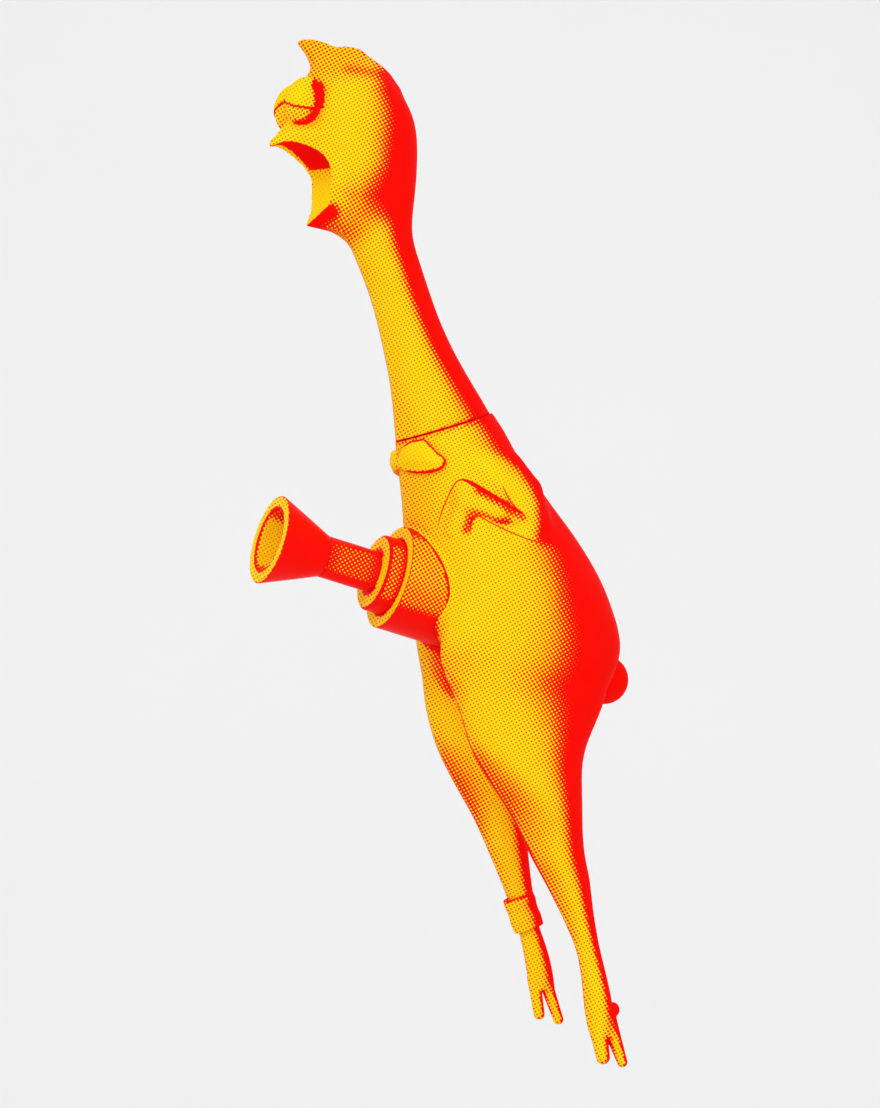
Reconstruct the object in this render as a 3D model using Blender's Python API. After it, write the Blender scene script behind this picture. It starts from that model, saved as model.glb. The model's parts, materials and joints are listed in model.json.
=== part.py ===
"""Rubber chicken with a rope pulley in its belly, built as a jointed assembly.

Metres, +Z up, +X towards the chicken's front, +Y towards its left side.
The origin is the centre of the neck seam.
"""
import math

import bpy
from mathutils import Matrix, Vector

MM = 0.001

# ---- driving dimensions, millimetres ------------------------------------
SEAM_TILT = 17.8            # forward lean of the neck seam, degrees
SEAM_GAP = 0.3
COLLAR_R = 24.2             # torso lip at the seam
COLLAR_DEPTH = 8.0
COLLAR_BORE_R = 18.0
PLUG_R = 17.6               # neck plug turning in the collar
PLUG_BORE_R = 14.0
PLUG_LIP_R = 20.5
SKIN = 3.2                  # wall of the hollow skins
PULLEY_TILT = 14.8          # upward tilt of the pulley axle, degrees
BOSS_FACE = (27.9, 0.0, -71.4)
BOSS_R = 24.0
BOSS_LEN = 36.0
BOSS_BORE_R = 18.7
BOSS_BACK = 6.0
FLANGE_R = 18.2             # inner flange of the pulley
FLANGE_FRONT = 8.7
DRUM_R = 9.8
CONE_START = 34.7           # where the cone leaves the drum
CONE_FACE = 62.5            # flat rim face of the cone
CONE_RIM_R = 21.05
CONE_MOUTH_R = 15.2
AXLE_R = 4.0
BUSH_R = 6.0
FIT = 0.3                   # clearance between neighbouring pieces
HIP_L = (-39.4, 21.0, -171.3)
HIP_R = (-25.4, -21.0, -147.8)
HIP_DOME_R = 19.0
HIP_RISE = 10.8             # socket rim above the hip centre
NOD = (30.8, 0.0, 85.9)
NOD_DOME_R = 14.0
SOCKET_FIT = 0.5
SLEEVE_TOP = (-46.3, -21.0, -219.8)
SLEEVE_TILT = 20.5
SLEEVE_LEN = 17.4
SLEEVE_R = 7.5
SLEEVE_BORE_R = 5.85
EYE_X, EYE_Y, EYE_Z = 74.0, 9.5, 150.0

# stations down the body: x, z, tilt, half depth, half width
TORSO = [
    (0.0, 0.0, 17.8, 24.2, 24.2),
    (-3.1, -7.0, 11.5, 26.0, 26.5),
    (-9.4, -19.3, 7.0, 30.1, 31.0),
    (-16.3, -35.1, 3.5, 34.9, 36.0),
    (-22.7, -49.8, 2.0, 40.0, 39.5),
    (-29.3, -67.1, 1.0, 44.6, 42.0),
    (-34.4, -85.8, 1.0, 47.6, 43.5),
    (-37.7, -103.1, 1.5, 48.2, 43.5),
    (-39.0, -119.0, 1.5, 44.6, 40.5),
    (-39.6, -129.0, 1.5, 35.0, 31.0),
    (-40.0, -134.0, 1.5, 22.0, 19.0),
]
CAVITY = [
    (-1.4, -5.6, 16.0, 17.9, 17.9),
    (-3.0, -9.5, 11.5, 22.0, 22.6),
    (-9.4, -19.3, 7.0, 26.9, 27.8),
    (-16.3, -35.1, 3.5, 31.7, 32.8),
    (-22.7, -49.8, 2.0, 36.8, 36.3),
    (-29.3, -67.1, 1.0, 41.4, 38.8),
    (-34.4, -85.8, 1.0, 44.4, 40.3),
    (-37.7, -103.1, 1.5, 44.0, 39.5),
    (-38.6, -114.0, 1.5, 36.0, 31.0),
    (-39.0, -119.5, 1.5, 20.0, 17.0),
]
THIGH_L = [
    (-37.0, -104.0, 0.0, 34.0, 17.0),
    (-36.0, -118.0, 0.0, 39.0, 21.5),
    (-35.3, -129.0, 0.0, 36.1, 22.0),
    (-34.0, -142.7, 0.0, 30.6, 21.0),
    (-34.3, -153.0, 0.0, 26.4, 20.5),
    (-36.2, HIP_L[2] + HIP_RISE, 0.0, 23.6, 20.0),
]
THIGH_R = [
    (-32.0, -100.0, 0.0, 28.0, 17.0),
    (-27.0, -114.0, 0.0, 28.0, 21.0),
    (-24.2, -126.7, 0.0, 24.2, 21.0),
    (-24.4, HIP_R[2] + HIP_RISE, 0.0, 22.0, 20.3),
]
NECK = [
    (3.1, 6.0, 18.0, 21.4, 21.8),
    (7.9, 19.6, 19.0, 18.7, 19.6),
    (14.8, 39.4, 21.0, 15.7, 17.2),
    (22.2, 59.7, 19.0, 13.9, 15.4),
    (26.5, 71.6, 12.0, 14.2, 14.9),
    (29.4, 79.8, 0.0, 14.8, 14.7),
]
NECK_BORE = [
    (3.4, 6.6, 18.0, 17.4, 17.6),
    (7.9, 19.6, 19.0, 15.4, 16.2),
    (14.8, 39.4, 21.0, 12.4, 13.6),
    (22.2, 59.7, 19.0, 10.4, 11.6),
    (26.5, 70.0, 12.0, 8.0, 8.0),
    (29.4, 82.0, 0.0, 8.0, 8.0),
]
SKULL = [
    (34.0, 88.0, 0.0, 16.4, 15.4),
    (36.6, 97.0, 0.0, 18.9, 18.4),
    (38.8, 108.0, 0.0, 22.2, 21.2),
    (40.2, 121.0, 0.0, 24.2, 22.6),
    (40.6, 134.0, 0.0, 24.7, 22.6),
    (42.4, 145.0, 0.0, 24.3, 21.0),
    (46.8, 155.0, 0.0, 22.6, 17.6),
    (50.4, 162.6, 0.0, 17.6, 12.4),
    (52.6, 167.2, 0.0, 10.6, 7.0),
]
SKULL_CAVITY = [
    (35.0, 93.5, 0.0, 8.6, 8.6),
    (36.6, 101.0, 0.0, 13.8, 13.4),
    (35.9, 110.0, 0.0, 14.9, 15.6),
    (35.4, 118.0, 0.0, 15.0, 16.4),
    (35.9, 124.0, 0.0, 15.8, 17.0),
    (38.4, 134.0, 0.0, 18.4, 17.4),
    (41.4, 144.0, 0.0, 17.6, 15.6),
    (44.0, 150.0, 0.0, 11.0, 9.0),
]
LEG_L = [
    (-40.2, -175.5, 0.0, 18.8, 17.9),
    (-43.9, -184.6, 0.0, 15.8, 15.6),
    (-48.8, -200.3, 0.0, 12.9, 12.8),
    (-52.9, -211.5, 6.0, 11.1, 11.0),
    (-56.4, -222.7, 10.0, 8.7, 8.8),
    (-60.0, -233.9, 12.0, 6.8, 7.0),
    (-63.6, -243.7, 12.0, 5.5, 5.6),
    (-66.6, -256.3, 8.0, 5.9, 5.9),
    (-68.9, -267.6, 6.0, 6.6, 6.2),
    (-71.8, -277.6, 0.0, 6.8, 5.6),
    (-72.6, -282.6, 0.0, 5.0, 4.0),
]
LEG_R = [
    (-26.6, -152.6, 0.0, 18.6, 18.4),
    (-29.7, -164.2, 0.0, 15.8, 15.6),
    (-33.8, -175.4, 4.0, 13.4, 13.3),
    (-37.9, -186.5, 10.0, 11.4, 11.5),
    (-40.7, -197.8, 16.0, 9.4, 9.6),
    (-43.6, -209.0, 20.0, 7.5, 7.8),
]

STEEL = (0.62, 0.62, 0.64, 1.0)
BRASS = (0.72, 0.5, 0.2, 1.0)
YELLOW = (1.0, 0.72, 0.01, 1.0)
ORANGE = (0.95, 0.35, 0.02, 1.0)
RED = (0.85, 0.02, 0.01, 1.0)

for ob in list(bpy.data.objects):
    bpy.data.objects.remove(ob, do_unlink=True)

NECK_AXIS = Vector((math.sin(math.radians(SEAM_TILT)), 0.0,
                    math.cos(math.radians(SEAM_TILT))))
PULLEY_AXIS = Vector((math.cos(math.radians(PULLEY_TILT)), 0.0,
                      math.sin(math.radians(PULLEY_TILT))))
SHANK_AXIS = Vector((-math.sin(math.radians(SLEEVE_TILT)), 0.0,
                     -math.cos(math.radians(SLEEVE_TILT))))


def ring_at(x, z, tilt, a, b, y=0.0, n=40):
    t = math.radians(tilt)
    e1 = Vector((math.cos(t), 0.0, -math.sin(t)))
    c = Vector((x, y, z))
    return [c + e1 * (a * math.cos(2 * math.pi * i / n))
            + Vector((0.0, b * math.sin(2 * math.pi * i / n), 0.0))
            for i in range(n)]


def frame_for(axis):
    axis = Vector(axis).normalized()
    side = Vector((0.0, 1.0, 0.0))
    if abs(axis.dot(side)) > 0.95:
        side = Vector((1.0, 0.0, 0.0))
    e1 = side.cross(axis).normalized()
    e2 = axis.cross(e1).normalized()
    return axis, e1, e2


def ring_on(centre, axis, a, b=None, n=40):
    axis, e1, e2 = frame_for(axis)
    b = a if b is None else b
    c = Vector(centre)
    return [c + e1 * (a * math.cos(2 * math.pi * i / n))
            + e2 * (b * math.sin(2 * math.pi * i / n)) for i in range(n)]


def mesh_object(name, verts, faces):
    me = bpy.data.meshes.new(name)
    me.from_pydata([tuple(Vector(v) * MM) for v in verts], [], faces)
    me.validate()
    ob = bpy.data.objects.new(name, me)
    bpy.context.scene.collection.objects.link(ob)
    orient(ob)
    return ob


def orient(ob):
    """Make every face of a closed mesh point outwards."""
    import bmesh
    bm = bmesh.new()
    bm.from_mesh(ob.data)
    bmesh.ops.recalc_face_normals(bm, faces=bm.faces)
    bm.to_mesh(ob.data)
    bm.free()


def skin_rings(name, rings, start=None, end=None):
    """A closed body through rings of equal length; start/end are pole points."""
    n = len(rings[0])
    verts = [v for r in rings for v in r]
    faces = []
    for k in range(len(rings) - 1):
        for i in range(n):
            j = (i + 1) % n
            faces.append((k * n + i, k * n + j, (k + 1) * n + j, (k + 1) * n + i))
    if start is None:
        faces.append(tuple(range(n - 1, -1, -1)))
    else:
        verts.append(Vector(start))
        p = len(verts) - 1
        faces += [(p, (i + 1) % n, i) for i in range(n)]
    base = (len(rings) - 1) * n
    if end is None:
        faces.append(tuple(base + i for i in range(n)))
    else:
        verts.append(Vector(end))
        p = len(verts) - 1
        faces += [(p, base + i, base + (i + 1) % n) for i in range(n)]
    return mesh_object(name, verts, faces)


def stations(table, y=0.0, grow=0.0, n=40):
    return [ring_at(x, z, t, a + grow, b + grow, y, n) for x, z, t, a, b in table]


def turned(name, origin, axis, profile, n=28):
    """Revolve a closed (radius, along) outline; radius 0 marks a pole."""
    axis, e1, e2 = frame_for(axis)
    o = Vector(origin)
    verts, index = [], []
    for r, s in profile:
        if r <= 0.0:
            index.append([len(verts)])
            verts.append(o + axis * s)
        else:
            index.append(list(range(len(verts), len(verts) + n)))
            verts += [o + axis * s + e1 * (r * math.cos(2 * math.pi * i / n))
                      + e2 * (r * math.sin(2 * math.pi * i / n)) for i in range(n)]
    faces = []
    closed = all(r > 0.0 for r, s in profile)
    m = len(profile)
    for k in range(m if closed else m - 1):
        a, b = index[k], index[(k + 1) % m]
        for i in range(n):
            j = (i + 1) % n
            if len(a) == 1 and len(b) == 1:
                break
            if len(a) == 1:
                faces.append((a[0], b[j], b[i]))
            elif len(b) == 1:
                faces.append((a[i], a[j], b[0]))
            else:
                faces.append((a[i], a[j], b[j], b[i]))
    return mesh_object(name, verts, faces)


def ball(name, centre, rx, ry=None, rz=None, n=28, rows=14):
    ry = rx if ry is None else ry
    rz = rx if rz is None else rz
    c = Vector(centre)
    rings = []
    for k in range(1, rows):
        t = math.pi * k / rows
        rings.append([c + Vector((rx * math.sin(t) * math.cos(2 * math.pi * i / n),
                                  ry * math.sin(t) * math.sin(2 * math.pi * i / n),
                                  rz * math.cos(t))) for i in range(n)])
    return skin_rings(name, rings, c + Vector((0, 0, rz)), c - Vector((0, 0, rz)))


def rod(name, a, b, ra, rb=None, n=16):
    """Round-ended tapering rod from a to b."""
    rb = ra if rb is None else rb
    a, b = Vector(a), Vector(b)
    d = (b - a).normalized()
    rings = []
    for q in (60, 30):
        t = math.radians(q)
        rings.append(ring_on(a - d * ra * math.sin(t), d, ra * math.cos(t), n=n))
    rings.append(ring_on(a, d, ra, n=n))
    rings.append(ring_on(b, d, rb, n=n))
    for q in (30, 60):
        t = math.radians(q)
        rings.append(ring_on(b + d * rb * math.sin(t), d, rb * math.cos(t), n=n))
    return skin_rings(name, rings, a - d * ra, b + d * rb)


def combine(target, other, how):
    """Boolean other into target and drop other."""
    mod = target.modifiers.new("op", 'BOOLEAN')
    mod.operation = how
    mod.solver = 'EXACT'
    mod.object = other
    dg = bpy.context.evaluated_depsgraph_get()
    me = bpy.data.meshes.new_from_object(target.evaluated_get(dg))
    target.modifiers.clear()
    target.data = me
    bpy.data.objects.remove(other, do_unlink=True)
    return target


def box_solid(name, x0, x1, y0, y1, z0, z1):
    v = [(x, y, z) for x in (x0, x1) for y in (y0, y1) for z in (z0, z1)]
    f = [(0, 1, 3, 2), (4, 6, 7, 5), (0, 4, 5, 1), (2, 3, 7, 6), (0, 2, 6, 4), (1, 5, 7, 3)]
    return mesh_object(name, v, f)


def finish(ob, name, colour, rough, metal=0.0, pivot=None, angle=38.0):
    ob.name = name
    ob.data.name = name
    if pivot is not None:
        p = Vector(pivot) * MM
        ob.data.transform(Matrix.Translation(-p))
        ob.location = p
    mat = bpy.data.materials.new(name + "_mat")
    mat.use_nodes = True
    bsdf = mat.node_tree.nodes["Principled BSDF"]
    bsdf.inputs["Base Color"].default_value = colour
    bsdf.inputs["Roughness"].default_value = rough
    bsdf.inputs["Metallic"].default_value = metal
    ob.data.materials.clear()
    ob.data.materials.append(mat)
    for p in ob.data.polygons:
        p.use_smooth = True
        p.material_index = 0
    ob.data.set_sharp_from_angle(angle=math.radians(angle))
    return ob


# ---- torso skin ----------------------------------------------------------
def torso_outer(name, grow=0.0):
    rings = stations(TORSO, grow=grow, n=28)
    rings[0] = ring_at(-NECK_AXIS.x * SEAM_GAP / 2, -NECK_AXIS.z * SEAM_GAP / 2,
                       SEAM_TILT, COLLAR_R + grow, COLLAR_R + grow, n=28)
    return skin_rings(name, rings, None, (-40.0, 0.0, -136.2 - grow))


WING = {
    "arm": ((-21.5, 24.5, -14.5), (-33.0, 36.5, -45.0), 7.6, 8.4),
    "fore": ((-33.0, 36.5, -45.0), (1.5, 27.5, -38.5), 8.4, 7.0),
    "hand": ((1.5, 27.5, -38.5), (6.5, 27.0, -49.0), 7.0, 5.5),
}

torso = torso_outer("torso_shell")
combine(torso, skin_rings("t", stations(THIGH_L, HIP_L[1], n=20)), 'UNION')
combine(torso, skin_rings("t", stations(THIGH_R, HIP_R[1], n=20)), 'UNION')
combine(torso, ball("t", (-81.3, 0.0, -117.0), 11.3, n=16, rows=8), 'UNION')
for side in (1, -1):
    for part in ("arm", "fore", "hand"):
        a, b, ra, rb = WING[part]
        combine(torso, rod("t", (a[0], a[1] * side, a[2]), (b[0], b[1] * side, b[2]),
                           ra, rb, n=8), 'UNION')
for hip in (HIP_L, HIP_R):
    combine(torso, ball("t", hip, HIP_DOME_R + SOCKET_FIT, n=20, rows=12), 'DIFFERENCE')
cavity = skin_rings("cavity", stations(CAVITY, n=18), None, (-39.0, 0.0, -121.5))
sleeve_keep = turned("t", BOSS_FACE, PULLEY_AXIS,
                     [(0, -BOSS_LEN), (BOSS_R + FIT + SKIN, -BOSS_LEN),
                      (BOSS_R + FIT + SKIN, 40.0), (0, 40.0)], n=24)
combine(cavity, sleeve_keep, 'DIFFERENCE')
combine(torso, cavity, 'DIFFERENCE')
combine(torso, turned("t", (0, 0, 0), NECK_AXIS,
                      [(0, -10.0), (COLLAR_BORE_R, -10.0), (COLLAR_BORE_R, 4.0), (0, 4.0)],
                      n=28), 'DIFFERENCE')
# room for the plug's lip under the collar
combine(torso, turned("t", (0, 0, 0), NECK_AXIS,
                      [(0, -14.0), (PLUG_LIP_R + 0.5, -14.0),
                       (PLUG_LIP_R + 0.5, -COLLAR_DEPTH), (0, -COLLAR_DEPTH)], n=40),
        'DIFFERENCE')
combine(torso, turned("t", BOSS_FACE, PULLEY_AXIS,
                      [(0, -60.0), (BOSS_R + FIT, -60.0), (BOSS_R + FIT, 40.0), (0, 40.0)],
                      n=28), 'DIFFERENCE')
finish(torso, "torso_shell", YELLOW, 0.4)


# ---- bow tie across the chest --------------------------------------------
def tie_ring(y, half_h, half_t, zc):
    x = -8.8 + 32.2 * math.sqrt(max(0.0, 1.0 - (y / 33.4) ** 2))
    nx, ny = (x + 8.8) / 32.2 ** 2, y / 33.4 ** 2
    k = math.hypot(nx, ny)
    nrm = Vector((nx / k, ny / k, 0.05))
    c = Vector((x, y, zc))
    return [c + nrm * (half_t * math.cos(2 * math.pi * i / 12))
            + Vector((0, 0, half_h * math.sin(2 * math.pi * i / 12))) for i in range(12)]


tie_rings = []
for y, hh, ht in ((-24.4, 2.4, 1.4), (-23.0, 5.2, 2.4), (-19.0, 7.4, 2.8), (-13.0, 7.2, 2.9),
                  (-8.0, 5.4, 2.8), (-4.0, 3.6, 2.6), (-2.6, 4.4, 3.4), (0.0, 4.8, 3.8),
                  (2.6, 4.4, 3.4), (4.0, 3.6, 2.6), (8.0, 5.4, 2.8), (13.0, 7.2, 2.9),
                  (19.0, 7.4, 2.8), (23.0, 5.2, 2.4), (24.4, 2.4, 1.4)):
    tie_rings.append(tie_ring(y, hh, ht, -16.6 + 0.0 * y))
tie = skin_rings("bow_tie", tie_rings)
combine(tie, torso_outer("t", FIT), 'DIFFERENCE')
combine(tie, turned("t", (0, 0, 0), NECK_AXIS,
                    [(0, -0.8), (40, -0.8), (40, 20.0), (0, 20.0)], n=24), 'DIFFERENCE')
finish(tie, "bow_tie", ORANGE, 0.4)

# ---- pulley: fixed pieces ------------------------------------------------
BACK = -BOSS_LEN
SCREWS = [(math.cos(math.radians(45 + 90 * k)), math.sin(math.radians(45 + 90 * k)))
          for k in range(4)]
_, P1, P2 = frame_for(PULLEY_AXIS)
SCREW_PCR = 14.0


def screw_base(k):
    c, s = SCREWS[k]
    return Vector(BOSS_FACE) + P1 * (SCREW_PCR * c) + P2 * (SCREW_PCR * s)


boss = turned("boss_housing", BOSS_FACE, PULLEY_AXIS, [
    (AXLE_R + FIT, BACK), (BOSS_R - 0.6, BACK), (BOSS_R, BACK + 0.6),
    (BOSS_R, -0.8), (BOSS_R - 0.8, 0.0), (BOSS_BORE_R + 0.5, 0.0), (BOSS_BORE_R, -0.5),
    (BOSS_BORE_R, BACK + BOSS_BACK), (8.0, BACK + BOSS_BACK), (8.0, -7.6),
    (AXLE_R + FIT, -7.6)], n=32)
for k in range(4):
    combine(boss, turned("t", screw_base(k), PULLEY_AXIS,
                         [(0, BACK - 2.0), (1.8, BACK - 2.0), (1.8, BACK + 4.5), (0, BACK + 4.5)],
                         n=8), 'DIFFERENCE')
finish(boss, "boss_housing", ORANGE, 0.35)

clamp = turned("clamp_ring", BOSS_FACE, PULLEY_AXIS, [
    (8.2, BACK - FIT - 3.0), (BOSS_R + SKIN, BACK - FIT - 3.0), (BOSS_R + SKIN, BACK - FIT),
    (8.2, BACK - FIT)], n=28)
for k in range(4):
    combine(clamp, turned("t", screw_base(k), PULLEY_AXIS,
                          [(0, BACK - 6.0), (1.8, BACK - 6.0), (1.8, BACK + 2.0), (0, BACK + 2.0)],
                          n=8), 'DIFFERENCE')
finish(clamp, "clamp_ring", STEEL, 0.35, 1.0)
for k in range(4):
    screw = turned("s", screw_base(k), PULLEY_AXIS, [
        (0, BACK - 4.4), (1.2, BACK - 4.4), (1.2, BACK - 5.0 + 0.1), (1.3, BACK - 5.3),
        (2.3, BACK - 5.3), (2.8, BACK - 4.6), (2.8, BACK - 3.6), (1.5, BACK - 3.6),
        (1.5, BACK + 4.0), (0, BACK + 4.0)], n=10)
    finish(screw, "clamp_screw_%d" % (k + 1), STEEL, 0.3, 1.0, screw_base(k))

axle = turned("axle", BOSS_FACE, PULLEY_AXIS, [
    (0, -43.4), (AXLE_R - 0.6, -43.4), (AXLE_R, -42.8), (AXLE_R, 45.6), (7.0, 45.6),
    (7.0, 46.4), (6.0, 48.0), (3.6, 49.0), (2.6, 49.1), (2.5, 47.4), (0, 47.4)], n=20)
finish(axle, "axle", STEEL, 0.3, 1.0)


def hexagon_nut(name, s0, s1, across, bore):
    axis, e1, e2 = frame_for(PULLEY_AXIS)
    o = Vector(BOSS_FACE)
    n = 24
    hexr = across / math.sqrt(3)
    out = []
    for i in range(n):
        t = 2 * math.pi * i / n
        w = (t + math.pi / 6) % (math.pi / 3) - math.pi / 6
        out.append((hexr * math.cos(math.pi / 6) / math.cos(w), t))
    verts = []
    for s in (s0, s1):
        verts += [o + axis * s + e1 * (r * math.cos(t)) + e2 * (r * math.sin(t)) for r, t in out]
    for s in (s0, s1):
        verts += [o + axis * s + e1 * (bore * math.cos(t)) + e2 * (bore * math.sin(t))
                  for r, t in out]
    faces = []
    for i in range(n):
        j = (i + 1) % n
        faces += [(i, j, n + j, n + i), (2 * n + j, 2 * n + i, 3 * n + i, 3 * n + j),
                  (j, i, 2 * n + i, 2 * n + j), (n + i, n + j, 3 * n + j, 3 * n + i)]
    return mesh_object(name, verts, faces)


nut = hexagon_nut("axle_nut", BACK - FIT - 4.4, BACK - FIT, 13.0, AXLE_R + FIT)
finish(nut, "axle_nut", STEEL, 0.3, 1.0, angle=20.0)
washer = turned("axle_washer", BOSS_FACE, PULLEY_AXIS, [
    (AXLE_R + FIT, -7.3), (7.6, -7.3), (7.6, -6.3), (AXLE_R + FIT, -6.3)], n=20)
finish(washer, "axle_washer", BRASS, 0.3, 1.0)
thrust = turned("thrust_washer", BOSS_FACE, PULLEY_AXIS, [
    (AXLE_R + FIT, 44.3), (7.6, 44.3), (7.6, 45.3), (AXLE_R + FIT, 45.3)], n=20)
finish(thrust, "thrust_washer", BRASS, 0.3, 1.0)

# ---- pulley: turning pieces ----------------------------------------------
cone = turned("cone_flange", BOSS_FACE, PULLEY_AXIS, [
    (BUSH_R + FIT, CONE_START + 0.1), (DRUM_R - 0.4, CONE_START + 0.1), (DRUM_R, CONE_START + 0.4),
    (DRUM_R + 5.4, CONE_START + 14.2), (CONE_RIM_R - 0.3, CONE_FACE - 1.0),
    (CONE_RIM_R, CONE_FACE - 0.5), (CONE_RIM_R - 0.4, CONE_FACE), (CONE_MOUTH_R + 0.4, CONE_FACE),
    (CONE_MOUTH_R, CONE_FACE - 0.5), (9.4, 42.2), (9.0, 42.0), (BUSH_R + FIT, 42.0)], n=36)
finish(cone, "cone_flange", YELLOW, 0.3, 0.0, BOSS_FACE)
drum = turned("drum", BOSS_FACE, PULLEY_AXIS, [
    (BUSH_R + FIT, FLANGE_FRONT + 0.1), (DRUM_R, FLANGE_FRONT + 0.1),
    (DRUM_R, CONE_START - 0.2), (BUSH_R + FIT, CONE_START - 0.2)], n=28)
finish(drum, "drum", YELLOW, 0.3, 0.0, BOSS_FACE)
inner = turned("inner_flange", BOSS_FACE, PULLEY_AXIS, [
    (BUSH_R + FIT, -4.0), (FLANGE_R - 0.5, -4.0), (FLANGE_R, -3.5),
    (FLANGE_R, FLANGE_FRONT - 0.8), (FLANGE_R - 0.8, FLANGE_FRONT - 0.2),
    (BUSH_R + FIT, FLANGE_FRONT - 0.2)], n=32)
finish(inner, "inner_flange", YELLOW, 0.3, 0.0, BOSS_FACE)
front_bush = turned("front_bush", BOSS_FACE, PULLEY_AXIS, [
    (AXLE_R + FIT, 22.6), (BUSH_R, 22.6), (BUSH_R, 42.3), (8.4, 42.3), (8.4, 44.0),
    (AXLE_R + FIT, 44.0)], n=20)
finish(front_bush, "front_bush", BRASS, 0.3, 1.0, BOSS_FACE)
rear_bush = turned("rear_bush", BOSS_FACE, PULLEY_AXIS, [
    (AXLE_R + FIT, -6.0), (8.4, -6.0), (8.4, -4.3), (BUSH_R, -4.3), (BUSH_R, 22.2),
    (AXLE_R + FIT, 22.2)], n=20)
finish(rear_bush, "rear_bush", BRASS, 0.3, 1.0, BOSS_FACE)

# ---- neck ----------------------------------------------------------------
base = ring_at(NECK_AXIS.x * SEAM_GAP / 2, NECK_AXIS.z * SEAM_GAP / 2, SEAM_TILT, 23.1, 23.1, n=28)
neck = skin_rings("neck_shell", [base] + stations(NECK, n=28))
combine(neck, turned("t", (0, 0, 0), NECK_AXIS, [
    (0, -COLLAR_DEPTH - 2.8), (PLUG_LIP_R - 0.8, -COLLAR_DEPTH - 2.8),
    (PLUG_LIP_R, -COLLAR_DEPTH - 2.0), (PLUG_LIP_R, -COLLAR_DEPTH - FIT),
    (PLUG_R, -COLLAR_DEPTH - FIT), (PLUG_R, 3.0), (0, 3.0)], n=28), 'UNION')
bore = ring_at(-NECK_AXIS.x * 14, -NECK_AXIS.z * 14, SEAM_TILT, PLUG_BORE_R, PLUG_BORE_R, n=20)
bore2 = ring_at(NECK_AXIS.x * 1.5, NECK_AXIS.z * 1.5, SEAM_TILT, PLUG_BORE_R, PLUG_BORE_R, n=20)
combine(neck, skin_rings("t", [bore, bore2] + stations(NECK_BORE, n=20)), 'DIFFERENCE')
combine(neck, ball("t", NOD, NOD_DOME_R + SOCKET_FIT, n=22, rows=12), 'DIFFERENCE')
finish(neck, "neck_shell", YELLOW, 0.4)


# ---- head ----------------------------------------------------------------
def slab(name, outline, half):
    """Rounded plate: outline in x,z, extruded sideways with bevelled edges."""
    n = len(outline)
    cx = sum(p[0] for p in outline) / n
    cz = sum(p[1] for p in outline) / n
    verts = []
    for y, k in ((-half, 0.86), (-half * 0.55, 1.0), (half * 0.55, 1.0), (half, 0.86)):
        verts += [Vector((cx + (x - cx) * k, y, cz + (z - cz) * k)) for x, z in outline]
    faces = [tuple(range(n)), tuple(range(4 * n - 1, 3 * n - 1, -1))]
    for r in range(3):
        for i in range(n):
            j = (i + 1) % n
            faces.append((r * n + i, (r + 1) * n + i, (r + 1) * n + j, r * n + j))
    return mesh_object(name, verts, faces)


def eye_ball(name, side, grow=0.0, n=18, rows=10):
    return ball(name, (EYE_X, EYE_Y * side, EYE_Z), 9.4 + grow, 7.6 + grow, 11.7 + grow,
                n=n, rows=rows)


head = skin_rings("head_shell", stations(SKULL, n=26), None, (53.6, 0.0, 169.6))
combine(head, slab("t", [(73.7, 179.4), (68.0, 180.6), (63.6, 180.0), (55.8, 176.6), (48.0, 177.2),
                         (42.4, 175.2), (30.3, 164.0), (40.0, 150.0), (58.0, 150.0), (66.0, 157.0),
                         (67.4, 165.0), (69.6, 171.0)], 5.6), 'UNION')
beak = [ring_on((50.0, 0, 134.0), (1, 0, -0.10), 17.0, 18.0, n=20),
        ring_on((66.0, 0, 133.6), (1, 0, -0.14), 13.4, 15.6, n=20),
        ring_on((76.0, 0, 133.2), (1, 0, -0.20), 9.0, 10.6, n=20),
        ring_on((83.0, 0, 131.6), (1, 0, -0.30), 4.4, 5.2, n=20)]
combine(head, skin_rings("t", beak, None, (87.4, 0, 129.6)), 'UNION')
jaw = [ring_on((46.0, 0, 112.0), (0.8, 0, -0.6), 16.0, 17.5, n=20),
       ring_on((56.0, 0, 105.0), (0.8, 0, -0.6), 13.6, 15.6, n=20),
       ring_on((62.6, 0, 99.6), (0.75, 0, -0.66), 9.2, 11.6, n=20),
       ring_on((67.0, 0, 95.2), (0.6, 0, -0.8), 4.6, 6.0, n=20)]
combine(head, skin_rings("t", jaw, None, (69.4, 0, 92.4)), 'UNION')
# domed foot that flexes in the top of the neck
dome = [ring_at(NOD[0], NOD[2] + 4.0, 0, 13.4, 13.4, n=24), ring_at(NOD[0], NOD[2], 0, 14.0, 14.0, n=24)]
for q in (15, 30, 45, 60, 75):
    t = math.radians(q)
    dome.append(ring_at(NOD[0], NOD[2] - NOD_DOME_R * math.sin(t), 0,
                        NOD_DOME_R * math.cos(t), NOD_DOME_R * math.cos(t), n=24))
combine(head, skin_rings("t", dome, None, (NOD[0], 0, NOD[2] - NOD_DOME_R)), 'UNION')
# open mouth
mouth = [ring_on((56.0, 0, 117.4), (1, 0, -0.2), 6.0, 9.0, n=20),
         ring_on((62.0, 0, 116.0), (1, 0, -0.2), 10.0, 12.4, n=20),
         ring_on((70.0, 0, 113.0), (1, 0, -0.25), 13.0, 13.2, n=20),
         ring_on((90.0, 0, 106.0), (1, 0, -0.3), 19.0, 15.0, n=20)]
combine(head, skin_rings("t", mouth, (53.6, 0, 117.8)), 'DIFFERENCE')
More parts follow.
